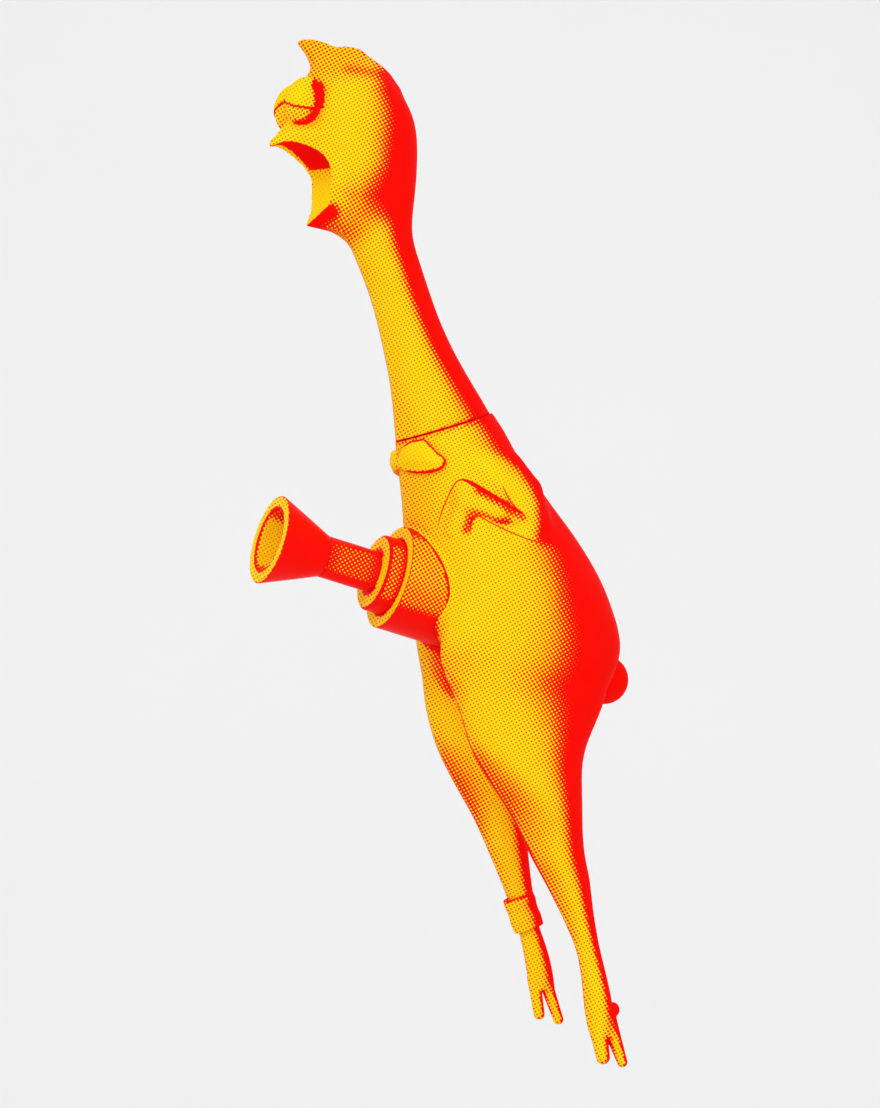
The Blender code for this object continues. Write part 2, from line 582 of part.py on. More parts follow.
# upper lids over the eyes
for side in (1, -1):
    lid = eye_ball("t", side, 1.5, n=18, rows=10)
    combine(lid, box_solid("t", 50, 100, -40, 40, EYE_Z + 1.0, EYE_Z + 40), 'INTERSECT')
    combine(head, lid, 'UNION')
for side in (1, -1):
    combine(head, eye_ball("t", side, FIT), 'DIFFERENCE')
combine(head, skin_rings("t", stations(SKULL_CAVITY, n=14), (34.5, 0, 92.6), (45.0, 0, 152.6)),
        'DIFFERENCE')
combine(head, turned("t", NOD, (0, 0, 1), [(0, -20.0), (7.4, -20.0), (7.4, 12.0), (0, 12.0)], n=18),
        'DIFFERENCE')
finish(head, "head_shell", YELLOW, 0.4, 0.0, NOD)
for side, tag in ((1, "left"), (-1, "right")):
    eye = eye_ball("e", side)
    combine(eye, box_solid("t", 50, 100, 0.4 * side if side > 0 else -30,
                           30 if side > 0 else -0.4, 100, 200), 'INTERSECT')
    finish(eye, "eye_" + tag, YELLOW, 0.2, 0.0, (EYE_X, EYE_Y * side, EYE_Z))


# ---- legs ----------------------------------------------------------------
def hip_dome(hip, n):
    rings = []
    for q in (75, 60, 45, 30, 15, 0):
        t = math.radians(q)
        rings.append(ring_at(hip[0], hip[2] + HIP_DOME_R * math.sin(t), 0,
                             HIP_DOME_R * math.cos(t), HIP_DOME_R * math.cos(t), hip[1], n))
    return rings


def toe(a, b, ra, rb):
    return rod("t", a, b, ra, rb, n=10)


leg_l = skin_rings("leg_left_shell", hip_dome(HIP_L, 20) + stations(LEG_L, HIP_L[1], n=20),
                   (HIP_L[0], HIP_L[1], HIP_L[2] + HIP_DOME_R), (-73.0, 21.0, -284.4))
combine(leg_l, toe((-70.8, 21.0, -277.0), (-72.2, 21.0, -295.6), 4.3, 2.7), 'UNION')
combine(leg_l, toe((-73.6, 21.0, -277.0), (-80.9, 21.0, -296.6), 4.3, 2.7), 'UNION')
combine(leg_l, ball("t", (-76.4, 21.0, -273.0), 3.4, n=10, rows=6), 'UNION')
finish(leg_l, "leg_left_shell", YELLOW, 0.4, 0.0, HIP_L)

Q0 = Vector(SLEEVE_TOP)
end_ring = ring_at(*(Q0 - SHANK_AXIS * 0.4).xz, SLEEVE_TILT, 6.4, 6.4, HIP_R[1], 20)
peg = [ring_at(*(Q0 + SHANK_AXIS * s).xz, SLEEVE_TILT, 5.5, 5.5, HIP_R[1], 20)
       for s in (-0.4, 7.4)]
leg_r = skin_rings("leg_right_shell", hip_dome(HIP_R, 20) + stations(LEG_R, HIP_R[1], n=20)
                   + [end_ring] + peg, (HIP_R[0], HIP_R[1], HIP_R[2] + HIP_DOME_R))
finish(leg_r, "leg_right_shell", YELLOW, 0.4, 0.0, HIP_R)
sleeve = turned("ankle_sleeve", SLEEVE_TOP, SHANK_AXIS, [
    (SLEEVE_BORE_R, 0.0), (SLEEVE_R - 0.6, 0.0), (SLEEVE_R, 0.6), (SLEEVE_R, SLEEVE_LEN - 0.6),
    (SLEEVE_R - 0.6, SLEEVE_LEN), (SLEEVE_BORE_R, SLEEVE_LEN)], n=24)
finish(sleeve, "ankle_sleeve", ORANGE, 0.35)
foot = skin_rings("foot_right", [
    ring_at(*(Q0 + SHANK_AXIS * s).xz, SLEEVE_TILT, r, r, HIP_R[1], 20)
    for s, r in ((8.0, 4.9), (8.6, 5.5), (SLEEVE_LEN + 0.4, 5.5), (SLEEVE_LEN + 1.0, 5.7))]
    + stations([(-55.4, -246.0, 16.0, 5.8, 5.8), (-56.9, -254.0, 8.0, 6.1, 6.0),
                (-58.9, -260.4, 0.0, 6.0, 5.4), (-59.8, -264.0, 0.0, 4.0, 3.4)], HIP_R[1], n=20),
    None, (-60.0, -21.0, -265.2))
combine(foot, toe((-57.6, -21.0, -257.0), (-58.4, -21.0, -273.6), 4.0, 2.6), 'UNION')
combine(foot, toe((-60.0, -21.0, -257.0), (-66.0, -21.0, -274.6), 4.0, 2.6), 'UNION')
finish(foot, "foot_right", YELLOW, 0.4, 0.0, SLEEVE_TOP)
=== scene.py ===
"""Looks of the rubber chicken with the belly pulley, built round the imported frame."""
import json
import math

import bmesh
import bpy
import numpy as np
from mathutils import Matrix, Vector

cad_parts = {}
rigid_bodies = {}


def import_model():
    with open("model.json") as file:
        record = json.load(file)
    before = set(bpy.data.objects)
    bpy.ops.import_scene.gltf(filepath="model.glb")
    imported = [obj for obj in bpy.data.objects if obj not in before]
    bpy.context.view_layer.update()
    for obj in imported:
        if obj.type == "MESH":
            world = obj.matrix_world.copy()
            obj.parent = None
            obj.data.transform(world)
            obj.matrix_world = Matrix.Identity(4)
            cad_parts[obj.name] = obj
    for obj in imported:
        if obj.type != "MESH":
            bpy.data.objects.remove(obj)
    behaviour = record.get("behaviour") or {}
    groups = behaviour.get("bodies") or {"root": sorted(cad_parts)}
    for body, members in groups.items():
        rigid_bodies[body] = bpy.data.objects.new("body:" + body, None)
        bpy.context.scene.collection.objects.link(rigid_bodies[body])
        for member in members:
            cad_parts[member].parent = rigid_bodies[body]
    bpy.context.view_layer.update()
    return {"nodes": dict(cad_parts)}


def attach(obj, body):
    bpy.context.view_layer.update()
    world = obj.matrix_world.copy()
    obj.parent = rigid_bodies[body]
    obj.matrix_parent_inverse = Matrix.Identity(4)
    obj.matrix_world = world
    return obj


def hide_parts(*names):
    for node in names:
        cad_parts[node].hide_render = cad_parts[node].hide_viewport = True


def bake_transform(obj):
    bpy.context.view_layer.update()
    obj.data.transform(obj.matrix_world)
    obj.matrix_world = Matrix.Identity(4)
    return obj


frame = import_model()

MM = 0.001
rng = np.random.default_rng(7)

# side-view axes in millimetres: across the picture plane, up it, and out of it
TURN, LIFT = math.radians(22.8), math.radians(-4.0)
AX_R = np.array([-math.cos(TURN), math.sin(TURN), 0.0])
AX_D = np.array([math.sin(TURN) * math.cos(LIFT), math.cos(TURN) * math.cos(LIFT), math.sin(LIFT)])
AX_U = np.array([-math.sin(TURN) * math.sin(LIFT), -math.cos(TURN) * math.sin(LIFT), math.cos(LIFT)])

NECK_AXIS = np.array([math.sin(math.radians(17.8)), 0.0, math.cos(math.radians(17.8))])
PULLEY_AXIS = np.array([math.cos(math.radians(14.8)), 0.0, math.sin(math.radians(14.8))])
SHANK_AXIS = np.array([-math.sin(math.radians(20.5)), 0.0, -math.cos(math.radians(20.5))])
BOSS = np.array([27.9, 0.0, -71.4])
SLEEVE_TOP = np.array([-46.5, -21.0, -219.4])
EYE = np.array([73.7, 7.0, 148.1])
EYE_R = (8.9, 8.0, 11.4)

# ------------------------------------------------------------------ stations
# height, middle, half depth, half width
TORSO = [
    (16.3, 5.3, 19.9, 22), (12.6, 3.8, 20.9, 22.8), (5.2, 0.4, 23.6, 24.4), (-2.3, -2.8, 25.9, 25.8),
    (-7.9, -4.4, 27.1, 27.2), (-13.5, -6.2, 28.3, 28.6), (-19.1, -8.9, 30.1, 30), (-24.7, -11.3, 31.6, 31.5),
    (-30.3, -13.8, 33.2, 33), (-35.8, -16.2, 35, 34.5), (-41.4, -18.7, 36.9, 36), (-47, -21.3, 39.2, 37.3),
    (-52.6, -23.6, 40.9, 38.9), (-58.2, -25.9, 42.6, 40.3), (-63.8, -28, 44, 41.7), (-69.4, -30.2, 45.1, 42.9),
    (-75, -32, 46.1, 44.1), (-80.6, -33.5, 47.1, 44.4), (-86.2, -34.8, 47.8, 44.5), (-91.8, -37.2, 47.7, 44.4),
    (-97.5, -39, 47.1, 44.1), (-103.1, -40.6, 46.4, 43.5), (-108.7, -41.2, 44.8, 42), (-114.4, -41.6, 42.7, 39.8),
    (-119.5, -41.8, 39.7, 36), (-124.5, -41.6, 35, 30), (-129, -41.2, 28, 22), (-132.5, -40.4, 20, 14),
    (-134, -40, 13, 9),
]
THIGH_L = [
    (-74.0, -31.6, 26.0, 10), (-82.0, -31.6, 32.0, 12), (-90.0, -31.6, 37.8, 14), (-100.9, -31.7, 42.4, 16.6), (-110.3, -31.9, 42.8, 19.5), (-119.7, -32.9, 40.1, 20.6), (-129.1, -34.2, 36.7, 20.8),
    (-138.6, -33.8, 32.9, 20.8), (-148.0, -32.8, 29.2, 20.6), (-155.5, -33.3, 26.3, 20.4), (-163.0, -35.4, 23.4, 19.6),
    (-171.4, -38.4, 20.6, 18.6), (-179.3, -41.5, 17.8, 17.2), (-187.8, -44.3, 15.4, 15.2), (-194.8, -46.4, 13.9, 13.6),
    (-200.4, -48.2, 13.0, 12.7), (-206.0, -50.3, 12.0, 11.8), (-211.6, -52.9, 11.1, 11), (-217.2, -54.8, 9.8, 10),
    (-222.8, -56.7, 8.7, 8.9), (-228.4, -58.6, 7.6, 7.8), (-234.0, -60.5, 6.8, 6.9), (-239.6, -62.4, 6.0, 6.1),
    (-245.2, -64.2, 5.5, 5.6), (-250.8, -65.6, 5.6, 5.6), (-256.4, -66.9, 5.9, 5.9), (-262.0, -67.9, 6.2, 6.2),
    (-267.7, -68.9, 6.6, 6.4), (-273.3, -69.5, 6.8, 6.3), (-278.9, -70.8, 7.1, 5.6), (-283.6, -71.7, 6.8, 4.6),
    (-286.0, -72.4, 6.2, 3.6),
]
THIGH_R = [
    (-76.0, -20.5, 16.0, 11), (-86.0, -20.4, 21.5, 13), (-96.5, -20.3, 24.2, 16.5), (-107.8, -21.1, 23.4, 19.5), (-117.2, -22.0, 22.3, 20), (-126.6, -22.9, 22.4, 20.2),
    (-136.0, -24.0, 21.4, 20.4), (-141.6, -24.8, 20.7, 20), (-147.2, -25.8, 19.7, 19.4), (-152.8, -27.1, 18.7, 18.6),
    (-158.4, -28.7, 17.4, 17.4), (-164.1, -30.4, 16.1, 16), (-169.7, -32.3, 14.7, 14.7), (-175.3, -34.3, 13.3, 13.4),
    (-180.9, -36.4, 12.2, 12.3), (-186.5, -38.3, 11.3, 11.4), (-192.1, -39.9, 10.4, 10.5), (-197.7, -41.4, 9.5, 9.6),
    (-203.3, -42.9, 8.6, 8.7), (-208.9, -44.6, 7.7, 7.8), (-214.5, -46.2, 6.9, 7), (-220.1, -47.8, 6.3, 6.4),
    (-225.7, -49.5, 5.7, 6),
]
FOOT_R = [
    (-224.0, -48.0, 5.3, 5.3), (-231.8, -51.0, 5.3, 5.3), (-238.8, -53.6, 5.3, 5.4), (-242.5, -54.8, 5.6, 5.6),
    (-248.2, -56.3, 5.9, 5.8), (-253.8, -57.5, 6.2, 5.6), (-259.4, -58.5, 6.3, 4.8), (-262.5, -59.0, 5.9, 4.0),
    (-264.0, -59.2, 5.3, 3.2),
]
NECKHEAD = [
    (172.5, 50.7, 5.2, 5), (168.8, 48.7, 13.2, 9.6), (165.0, 48.1, 16.6, 13.2), (160.3, 47.4, 19.4, 16.6),
    (154.7, 46.5, 22.7, 19.2), (149.1, 45.2, 25.4, 21), (143.4, 44.2, 26.9, 22.1), (137.8, 43.3, 27.3, 22.7),
    (132.2, 42.5, 27.0, 22.9), (126.6, 41.7, 26.2, 22.8), (120.9, 40.7, 25.1, 22.3), (115.3, 39.6, 23.7, 21.5),
    (109.7, 38.4, 22.0, 20.4), (104.1, 37.2, 20.2, 19.1), (98.4, 35.9, 18.2, 17.6), (92.8, 34.5, 16.4, 16.2),
    (87.2, 32.8, 15.4, 15.3), (81.6, 30.7, 14.9, 14.9), (76.0, 28.4, 14.7, 14.8), (70.4, 26.1, 14.4, 14.8),
    (64.8, 24.0, 14.2, 14.9), (59.2, 21.9, 14.2, 15.1), (53.6, 20.0, 14.3, 15.5), (48.0, 18.0, 14.7, 16),
    (42.4, 15.9, 15.2, 16.6), (36.8, 13.8, 16.0, 17.2), (31.3, 11.6, 16.9, 17.9), (25.7, 9.2, 18.0, 18.7),
    (20.1, 6.9, 19.2, 19.5), (14.5, 4.6, 20.7, 20.4), (8.9, 2.5, 22.1, 21.3), (3.3, 0.4, 23.6, 22.2),
    (-2.3, -1.5, 25.0, 23), (-7.9, -3.4, 26.3, 23.8), (-13.5, -5.4, 27.7, 24.6),
]
COMB = [(73.9, 178.2), (71.6, 179.2), (67.0, 179.4), (60.9, 178.2), (56.1, 176.2), (50.7, 176.8),
        (44.6, 175.8), (39.0, 172.6), (33.9, 168.9), (30.2, 165.2), (27.4, 160.6), (25.2, 156.2),
        (30.3, 147.6), (53.3, 147.0), (66.5, 156.0), (67.8, 162.1), (66.8, 165.4), (67.3, 168.3),
        (69.3, 172.0), (71.9, 175.4)]
# side-view outline of the gape (across, up): upper lip, corner, lower lip, then out in front
GAPE = [(-85.8, 129.5), (-81.5, 130), (-75.8, 132), (-71.1, 132.4), (-67.2, 131.6), (-63.2, 130.2),
        (-60.4, 128.9), (-57.7, 127.2), (-54.6, 123.5), (-53, 119.8), (-52.7, 115.6), (-53, 110.4),
        (-54, 103.6), (-56.9, 100.3), (-60.6, 97.1), (-64.2, 93.8), (-66, 91.2), (-91.4, 91.2),
        (-91.4, 129.5)]
# bow-tie lobe in the side-view plane (across, up)
LOBE = [(-22.6, -15.5), (-21.0, -11.0), (-18.5, -8.6), (-15.4, -7.0), (-11.0, -6.2), (-9.0, -6.4),
        (-6.4, -9.0), (-3.2, -12.4), (-0.2, -14.6), (0.8, -16.8), (-0.6, -19.6), (-4.0, -21.4),
        (-9.5, -22.2), (-15.0, -21.9), (-20.0, -20.6), (-22.4, -18.4)]


# ------------------------------------------------------------------ shapes
def gauss(a, sigma):
    r = int(3 * sigma) + 1
    k = np.exp(-0.5 * (np.arange(-r, r + 1) / sigma) ** 2)
    k /= k.sum()
    # reflect so that a straight run keeps its slope at the ends
    p = np.concatenate([2 * a[0] - a[1:r + 1][::-1], a, 2 * a[-1] - a[-r - 1:-1][::-1]])
    return np.convolve(p, k, "valid")


class Loft:
    """Horizontal ellipses stacked up, smoothed along their height. A leg moves in towards its ankle joint."""

    def __init__(self, table, y=0.0, smooth=4.0, grow=0.0, y_low=None):
        t = np.array(sorted(table), float)
        self.z0, self.z1, self.step = t[0, 0], t[-1, 0], 0.5
        zz = np.arange(self.z0, self.z1 + self.step, self.step)
        self.y, self.y_low = y, y if y_low is None else y_low
        cols = []
        for c in (1, 2, 3):
            v = np.interp(zz, t[:, 0], t[:, c])
            cols.append(gauss(v, smooth / self.step))
        self.zz = zz
        self.c, self.a, self.b = cols
        self.a = np.maximum(self.a + grow, 0.3)
        self.b = np.maximum(self.b + grow, 0.3)

    def at(self, z):
        i = np.clip((z - self.z0) / self.step, 0, len(self.zz) - 1.001)
        k = i.astype(np.int32)
        f = (i - k).astype(np.float32)
        out = []
        for v in (self.c, self.a, self.b):
            v = v.astype(np.float32)
            out.append(v[k] * (1 - f) + v[k + 1] * f)
        return out

    def __call__(self, x, y, z):
        c, a, b = self.at(z)
        y0 = self.y
        if self.y_low != self.y:
            f = np.clip((z + 205.0) / 40.0, 0, 1)
            y0 = self.y_low + (self.y - self.y_low) * f * f * (3 - 2 * f)
        dx, dy = x - c, y - y0
        k = np.sqrt((dx / a) ** 2 + (dy / b) ** 2) + 1e-5
        g = np.sqrt((dx / (a * a)) ** 2 + (dy / (b * b)) ** 2) + 1e-5 / np.minimum(a, b)
        d = k * (k - 1) / g
        out = np.maximum(self.z0 - z, z - self.z1)
        return np.where(out > 0, np.sqrt(np.maximum(d, 0) ** 2 + out ** 2), d)


def ellipsoid(c, r, tilt=0.0):
    ct, st = math.cos(tilt), math.sin(tilt)

    def f(x, y, z):
        px, py, pz = (x - c[0]), (y - c[1]), (z - c[2])
        if tilt:
            px, pz = ct * px + st * pz, ct * pz - st * px
        k = np.sqrt((px / r[0]) ** 2 + (py / r[1]) ** 2 + (pz / r[2]) ** 2) + 1e-5
        g = np.sqrt((px / r[0] ** 2) ** 2 + (py / r[1] ** 2) ** 2 + (pz / r[2] ** 2) ** 2) + 1e-5 / min(r)
        return k * (k - 1) / g
    return f


def cone(a, b, ra, rb):
    """Round-ended cone."""
    a, b = np.asarray(a, float), np.asarray(b, float)
    ba = b - a
    l2 = float(ba @ ba)
    rr = ra - rb
    a2 = l2 - rr * rr
    il2 = 1.0 / l2

    def f(x, y, z):
        px, py, pz = x - a[0], y - a[1], z - a[2]
        yy = px * ba[0] + py * ba[1] + pz * ba[2]
        zz = yy - l2
        qx, qy, qz = px * l2 - ba[0] * yy, py * l2 - ba[1] * yy, pz * l2 - ba[2] * yy
        x2 = qx * qx + qy * qy + qz * qz
        y2 = yy * yy * l2
        z2 = zz * zz * l2
        k = np.sign(rr) * rr * rr * x2
        d1 = np.sqrt(x2 + z2) * il2 - rb
        d2 = np.sqrt(x2 + y2) * il2 - ra
        d3 = (np.sqrt(x2 * a2 * il2) + yy * rr) * il2 - ra
        return np.where(np.sign(zz) * a2 * z2 > k, d1, np.where(np.sign(yy) * a2 * y2 < k, d2, d3))
    return f


def poly_distance(pts):
    """Signed distance to a closed outline; corners rounded by smoothing the outline."""
    p = np.array(pts, float)
    q = []
    n = len(p)
    for i in range(n):
        p0, p1, p2, p3 = p[i - 1], p[i], p[(i + 1) % n], p[(i + 2) % n]
        for t in np.linspace(0, 1, 5)[:-1]:
            q.append(0.5 * ((2 * p1) + (-p0 + p2) * t + (2 * p0 - 5 * p1 + 4 * p2 - p3) * t * t
                            + (-p0 + 3 * p1 - 3 * p2 + p3) * t ** 3))
    q = np.array(q)

    def f(u, v):
        d = np.full(u.shape, 1e9, np.float32)
        s = np.ones(u.shape, np.float32)
        m = len(q)
        for i in range(m):
            a, b = q[i], q[i - 1]
            ex, ey = b - a
            wx, wy = u - a[0], v - a[1]
            t = np.clip((wx * ex + wy * ey) / (ex * ex + ey * ey + 1e-12), 0, 1)
            bx, by = wx - ex * t, wy - ey * t
            d = np.minimum(d, bx * bx + by * by)
            c1, c2, c3 = v >= a[1], v < b[1], ex * wy > ey * wx
            s = np.where((c1 & c2 & c3) | (~c1 & ~c2 & ~c3), -s, s)
        return s * np.sqrt(d)
    return f


def smin(a, b, k):
    h = np.clip(0.5 + 0.5 * (b - a) / k, 0, 1)
    return b + (a - b) * h - k * h * (1 - h)


def smax(a, b, k):
    return -smin(-a, -b, k)


def step(x, a, b):
    t = np.clip((x - a) / (b - a), 0, 1)
    return t * t * (3 - 2 * t)


torso_loft = Loft(TORSO)
neck_loft = Loft(NECKHEAD, smooth=3.5)
leg_l_loft = Loft(THIGH_L, 22.3, smooth=3.5, y_low=21.0)
leg_r_loft = Loft(THIGH_R, -22.3, smooth=3.5, y_low=-21.0)
foot_r_loft = Loft(FOOT_R, -21.0, smooth=2.0)


def view_uv(x, y, z):
    return (x * AX_R[0] + y * AX_R[1], x * AX_U[0] + y * AX_U[1] + z * AX_U[2])


def on_skin(u, v, sink=0.0, side=1):
    """The point of the torso's left side seen at (u, v) in the side view, moved in by sink."""
    base = u * AX_R + v * AX_U
    t = np.arange(90.0, -30.0, -0.05)
    p = base[None] + t[:, None] * AX_D[None]
    d = torso_loft(p[:, 0].astype(np.float32), p[:, 1].astype(np.float32), p[:, 2].astype(np.float32))
    q = p[int(np.argmax(d < 0))] - AX_D * sink
    return np.array([q[0], q[1] * side, q[2]])


WING = []
for side in (1, -1):
    shoulder = on_skin(31.3, -19.3, 10.0, side)
    upper = on_skin(37.4, -30.6, 9.0, side)
    elbow = on_skin(41.1, -45.4, 6.0, side)
    mid = on_skin(25.7, -40.2, 2.0, side)
    wrist = on_skin(10.8, -34.4, 3.8, side)
    tip = on_skin(5.6, -48.5, 6.8, side)
    WING.append({
        "arm1": cone(shoulder, upper, 5.5, 8.2), "arm2": cone(upper, elbow, 8.2, 8.2), "fore1": cone(elbow, mid, 8.0, 5.8),
        "fore2": cone(mid, wrist, 5.8, 7.4), "hand": cone(wrist, tip, 7.4, 7.6)})

NUB = ellipsoid((-81.9, 0.0, -117.3), (11.6, 11.6, 11.6))


GROOVE = cone((17.5, 0.0, -96.0), (5.5, 0.0, -141.0), 13.5, 13.5)


def pad(x, y, z):
    """The skin swells a little round the pulley housing."""
    px_, pz_ = x - BOSS[0], z - BOSS[2]
    s = px_ * PULLEY_AXIS[0] + pz_ * PULLEY_AXIS[2]
    r = np.sqrt(np.maximum(px_ * px_ + y * y + pz_ * pz_ - s * s, 0))
    return np.maximum(r - 24.2, np.maximum(s + 1.0, -40.0 - s))


def trunk(x, y, z):
    d = smax(torso_loft(x, y, z), -GROOVE(x, y * 1.15, z), 8.0)
    return smin(d, pad(x, y, z), 4.0)


def torso_field(x, y, z):
    d = trunk(x, y, z)
    d = smin(d, NUB(x, y, z), 1.2)
    for w in WING:
        d = smin(d, smin(w["arm1"](x, y, z), w["arm2"](x, y, z), 0.5), 5.0)
        fore = smin(w["fore1"](x, y, z), w["fore2"](x, y, z), 2.0)
        d = smin(d, smin(fore, w["hand"](x, y, z), 2.5), 0.7)
    return d


TOES_L = [cone((-68.9, 21.0, -280.0), (-71.7, 21.0, -295.5), 4.4, 3.2),
          cone((-73.8, 21.0, -277.0), (-81.6, 21.0, -297.7), 4.2, 2.4)]
SPUR = ellipsoid((-76.6, 21.0, -273.2), (3.4, 3.0, 3.6))
TOES_R = [cone((-54.9, -21.0, -259.0), (-57.5, -21.0, -275.3), 3.0, 2.6),
          cone((-60.0, -21.0, -258.0), (-67.4, -21.0, -277.8), 3.3, 2.4)]


def leg_l_field(x, y, z):
    d = leg_l_loft(x, y, z)
    d = smin(d, smin(TOES_L[0](x, y, z), TOES_L[1](x, y, z), 0.5), 1.5)
    return smin(d, SPUR(x, y, z), 1.0)


def leg_r_field(x, y, z):
    return leg_r_loft(x, y, z)


def foot_r_field(x, y, z):
    d = foot_r_loft(x, y, z)
    return smin(d, smin(TOES_R[0](x, y, z), TOES_R[1](x, y, z), 0.5), 1.5)


def body_field(x, y, z):
    t = torso_field(x, y, z)
    return np.minimum(smin(t, leg_l_field(x, y, z), 9.0), smin(t, leg_r_field(x, y, z), 9.0))


comb_outline = poly_distance(COMB)
gape_outline = poly_distance(GAPE)
lobe_outline = poly_distance(LOBE)
BEAK = cone((68.0, 0.0, 137.2), (86.2, 0.0, 129.7), 11.4, 1.6)
JAW = cone((51.0, 0.0, 106.0), (69.6, 0.0, 92.6), 16.8, 0.9)
BILL = cone((62.0, 0.0, 126.0), (85.0, 0.0, 129.0), 11.5, 1.4)
MUZZLE = ellipsoid((58.0, 0.0, 116.0), (15.0, 14.6, 17.0))
HOLLOW = ellipsoid((67.5, 0.0, 114.0), (11.0, 10.5, 13.0))
EYE_TILT = 0.22
ROLL = 0.12


def level(y, z):
    """Height with the face's slight sideways lean taken out."""
    return z - ROLL * y * np.clip((z - 92.0) / 26.0, 0, 1)


def leaned(f):
    return lambda x, y, z: f(x, y, level(y, z))


EYES = [leaned(ellipsoid((EYE[0], EYE[1] * s, EYE[2]), EYE_R, EYE_TILT)) for s in (1, -1)]
LIDS = [leaned(ellipsoid((EYE[0], EYE[1] * s, EYE[2]), tuple(r + 0.45 for r in EYE_R), EYE_TILT)) for s in (1, -1)]


def lid_plane(x, y, z):
    z = level(y, z)
    return 151.1 - 0.52 * np.abs(y) - z


def flat(fn, x, z):
    """An outline in X and Z, worked out once for a whole grid's Y."""
    if x.ndim == 3 and x.shape[1] > 1:
        return np.broadcast_to(fn(x[:, :1], z[:, :1]), x.shape)
    return fn(x, z)


gape_grid = {}


def gape_at(u, v):
    """The gape outline read from a fine table."""
    if not gape_grid:
        gu = np.arange(-100.0, -35.0, 0.25)
        gv = np.arange(84.0, 142.0, 0.25)
        U, V = np.meshgrid(gu, gv, indexing="ij")
        gape_grid["t"] = gape_outline(U, V).astype(np.float32)
    t = gape_grid["t"]
    i = np.clip((u + 100.0) / 0.25, 0, t.shape[0] - 1.001)
    j = np.clip((v - 84.0) / 0.25, 0, t.shape[1] - 1.001)
    a, b = i.astype(np.int32), j.astype(np.int32)
    f, g = i - a, j - b
    return (t[a, b] * (1 - f) + t[a + 1, b] * f) * (1 - g) + (t[a, b + 1] * (1 - f) + t[a + 1, b + 1] * f) * g


def face_uv(x, y, z):
    """Side-view place of a point of the face, folded so that both cheeks share one drawing."""
    w = np.abs(y)
    zm = level(y, z) + ROLL * w * np.clip((z - 92.0) / 26.0, 0, 1)
    u, v = view_uv(x, w, zm)
    far, up = step(-y, 3.0, 10.0), step(zm, 119.0, 126.0)
    return u - 2.4 * far * (1 - up) * step(zm, 98.0, 107.0), v + 2.8 * far * up


def head_solid(x, y, z):
    z0, z = z, level(y, z)
    d = neck_loft(x, y, z)
    c2 = flat(comb_outline, x, z0)
    half = 5.6 - np.clip((z - 160.0) / 20.0, 0, 1) * 1.8
    r = 2.8
    cd, cy = c2 + r, np.abs(y) - (half - r)
    comb = np.sqrt(np.maximum(cd, 0) ** 2 + np.maximum(cy, 0) ** 2) + np.minimum(np.maximum(cd, cy), 0) - r
    d = smin(d, comb, 7.0)
    d = smin(d, BEAK(x, y / np.interp(z, (130.0, 134.0, 138.0, 143.0), (1.3, 1.1, 0.75, 0.6)), z), 5.0)
    d = smin(d, smin(MUZZLE(x, y, z), BILL(x, y / 1.1, z), 1.5), 4.0)
    d = smin(d, JAW(x, y, z), 10.0)
    for e, l in zip(EYES, LIDS):
        d = smin(d, e(x, y, z0) + 0.3, 1.2)
        lid = smax(l(x, y, z0), lid_plane(x, y, z0), 0.5)
        d = smin(d, lid, 0.6)
    return d




def head_field(x, y, z):
    d = head_solid(x, y, z)
    d = smax(d, -gape_at(*face_uv(x, y, z)), 0.8)
    d = smax(d, -HOLLOW(x, y, level(y, z)), 1.2)
    return d


def eye_cut(x, y, z):
    return np.minimum(EYES[0](x, y, z), EYES[1](x, y, z))


def tie_field(x, y, z):
    t = torso_loft(x, y, z)
    best = None
    for s in (1, -1):
        u, v = view_uv(x, y * s, z)
        if s < 0:
            v = -15.6 + (v + 15.6) * (1.42 - 0.42 * step(-y, 18.0, 26.0))
        e = lobe_outline(u, v)
        e = np.where(y * s < -6.0, np.maximum(e, 6.0), e)
        # thicker in the middle of the lobe, thin at its rim
        puff = 2.1 + 1.3 * np.clip(-e / 6.0, 0, 1)
        d = smax(e, t - puff - 0.2, 1.6)
        best = d if best is None else smin(best, d, 0.4)
    return smax(best, 0.12 - t, 0.2)


def boss_field(x, y, z):
    px, py, pz = x - BOSS[0], y - BOSS[1], z - BOSS[2]
    s = px * PULLEY_AXIS[0] + pz * PULLEY_AXIS[2]
    r = np.sqrt(np.maximum(px * px + py * py + pz * pz - s * s, 0))
    d = np.maximum(r - 24.0, np.maximum(s, -36.0 - s))
    collar = np.maximum(r - 18.2, np.maximum(s - 8.7, -4.0 - s))
    drum = np.maximum(r - 9.8, np.maximum(s - 40.0, -4.0 - s))
    return np.minimum(np.minimum(d, collar), drum)


def everything(x, y, z):
    h = smax(head_field(x, y, z), -(x * NECK_AXIS[0] + z * NECK_AXIS[2]), 0.2)
    b = smax(body_field(x, y, z), x * NECK_AXIS[0] + z * NECK_AXIS[2], 0.2)
    d = np.minimum(h, b)
    d = np.minimum(d, foot_r_field(x, y, z))
    d = np.minimum(d, boss_field(x, y, z))
    return np.minimum(d, eye_cut(x, y, z))


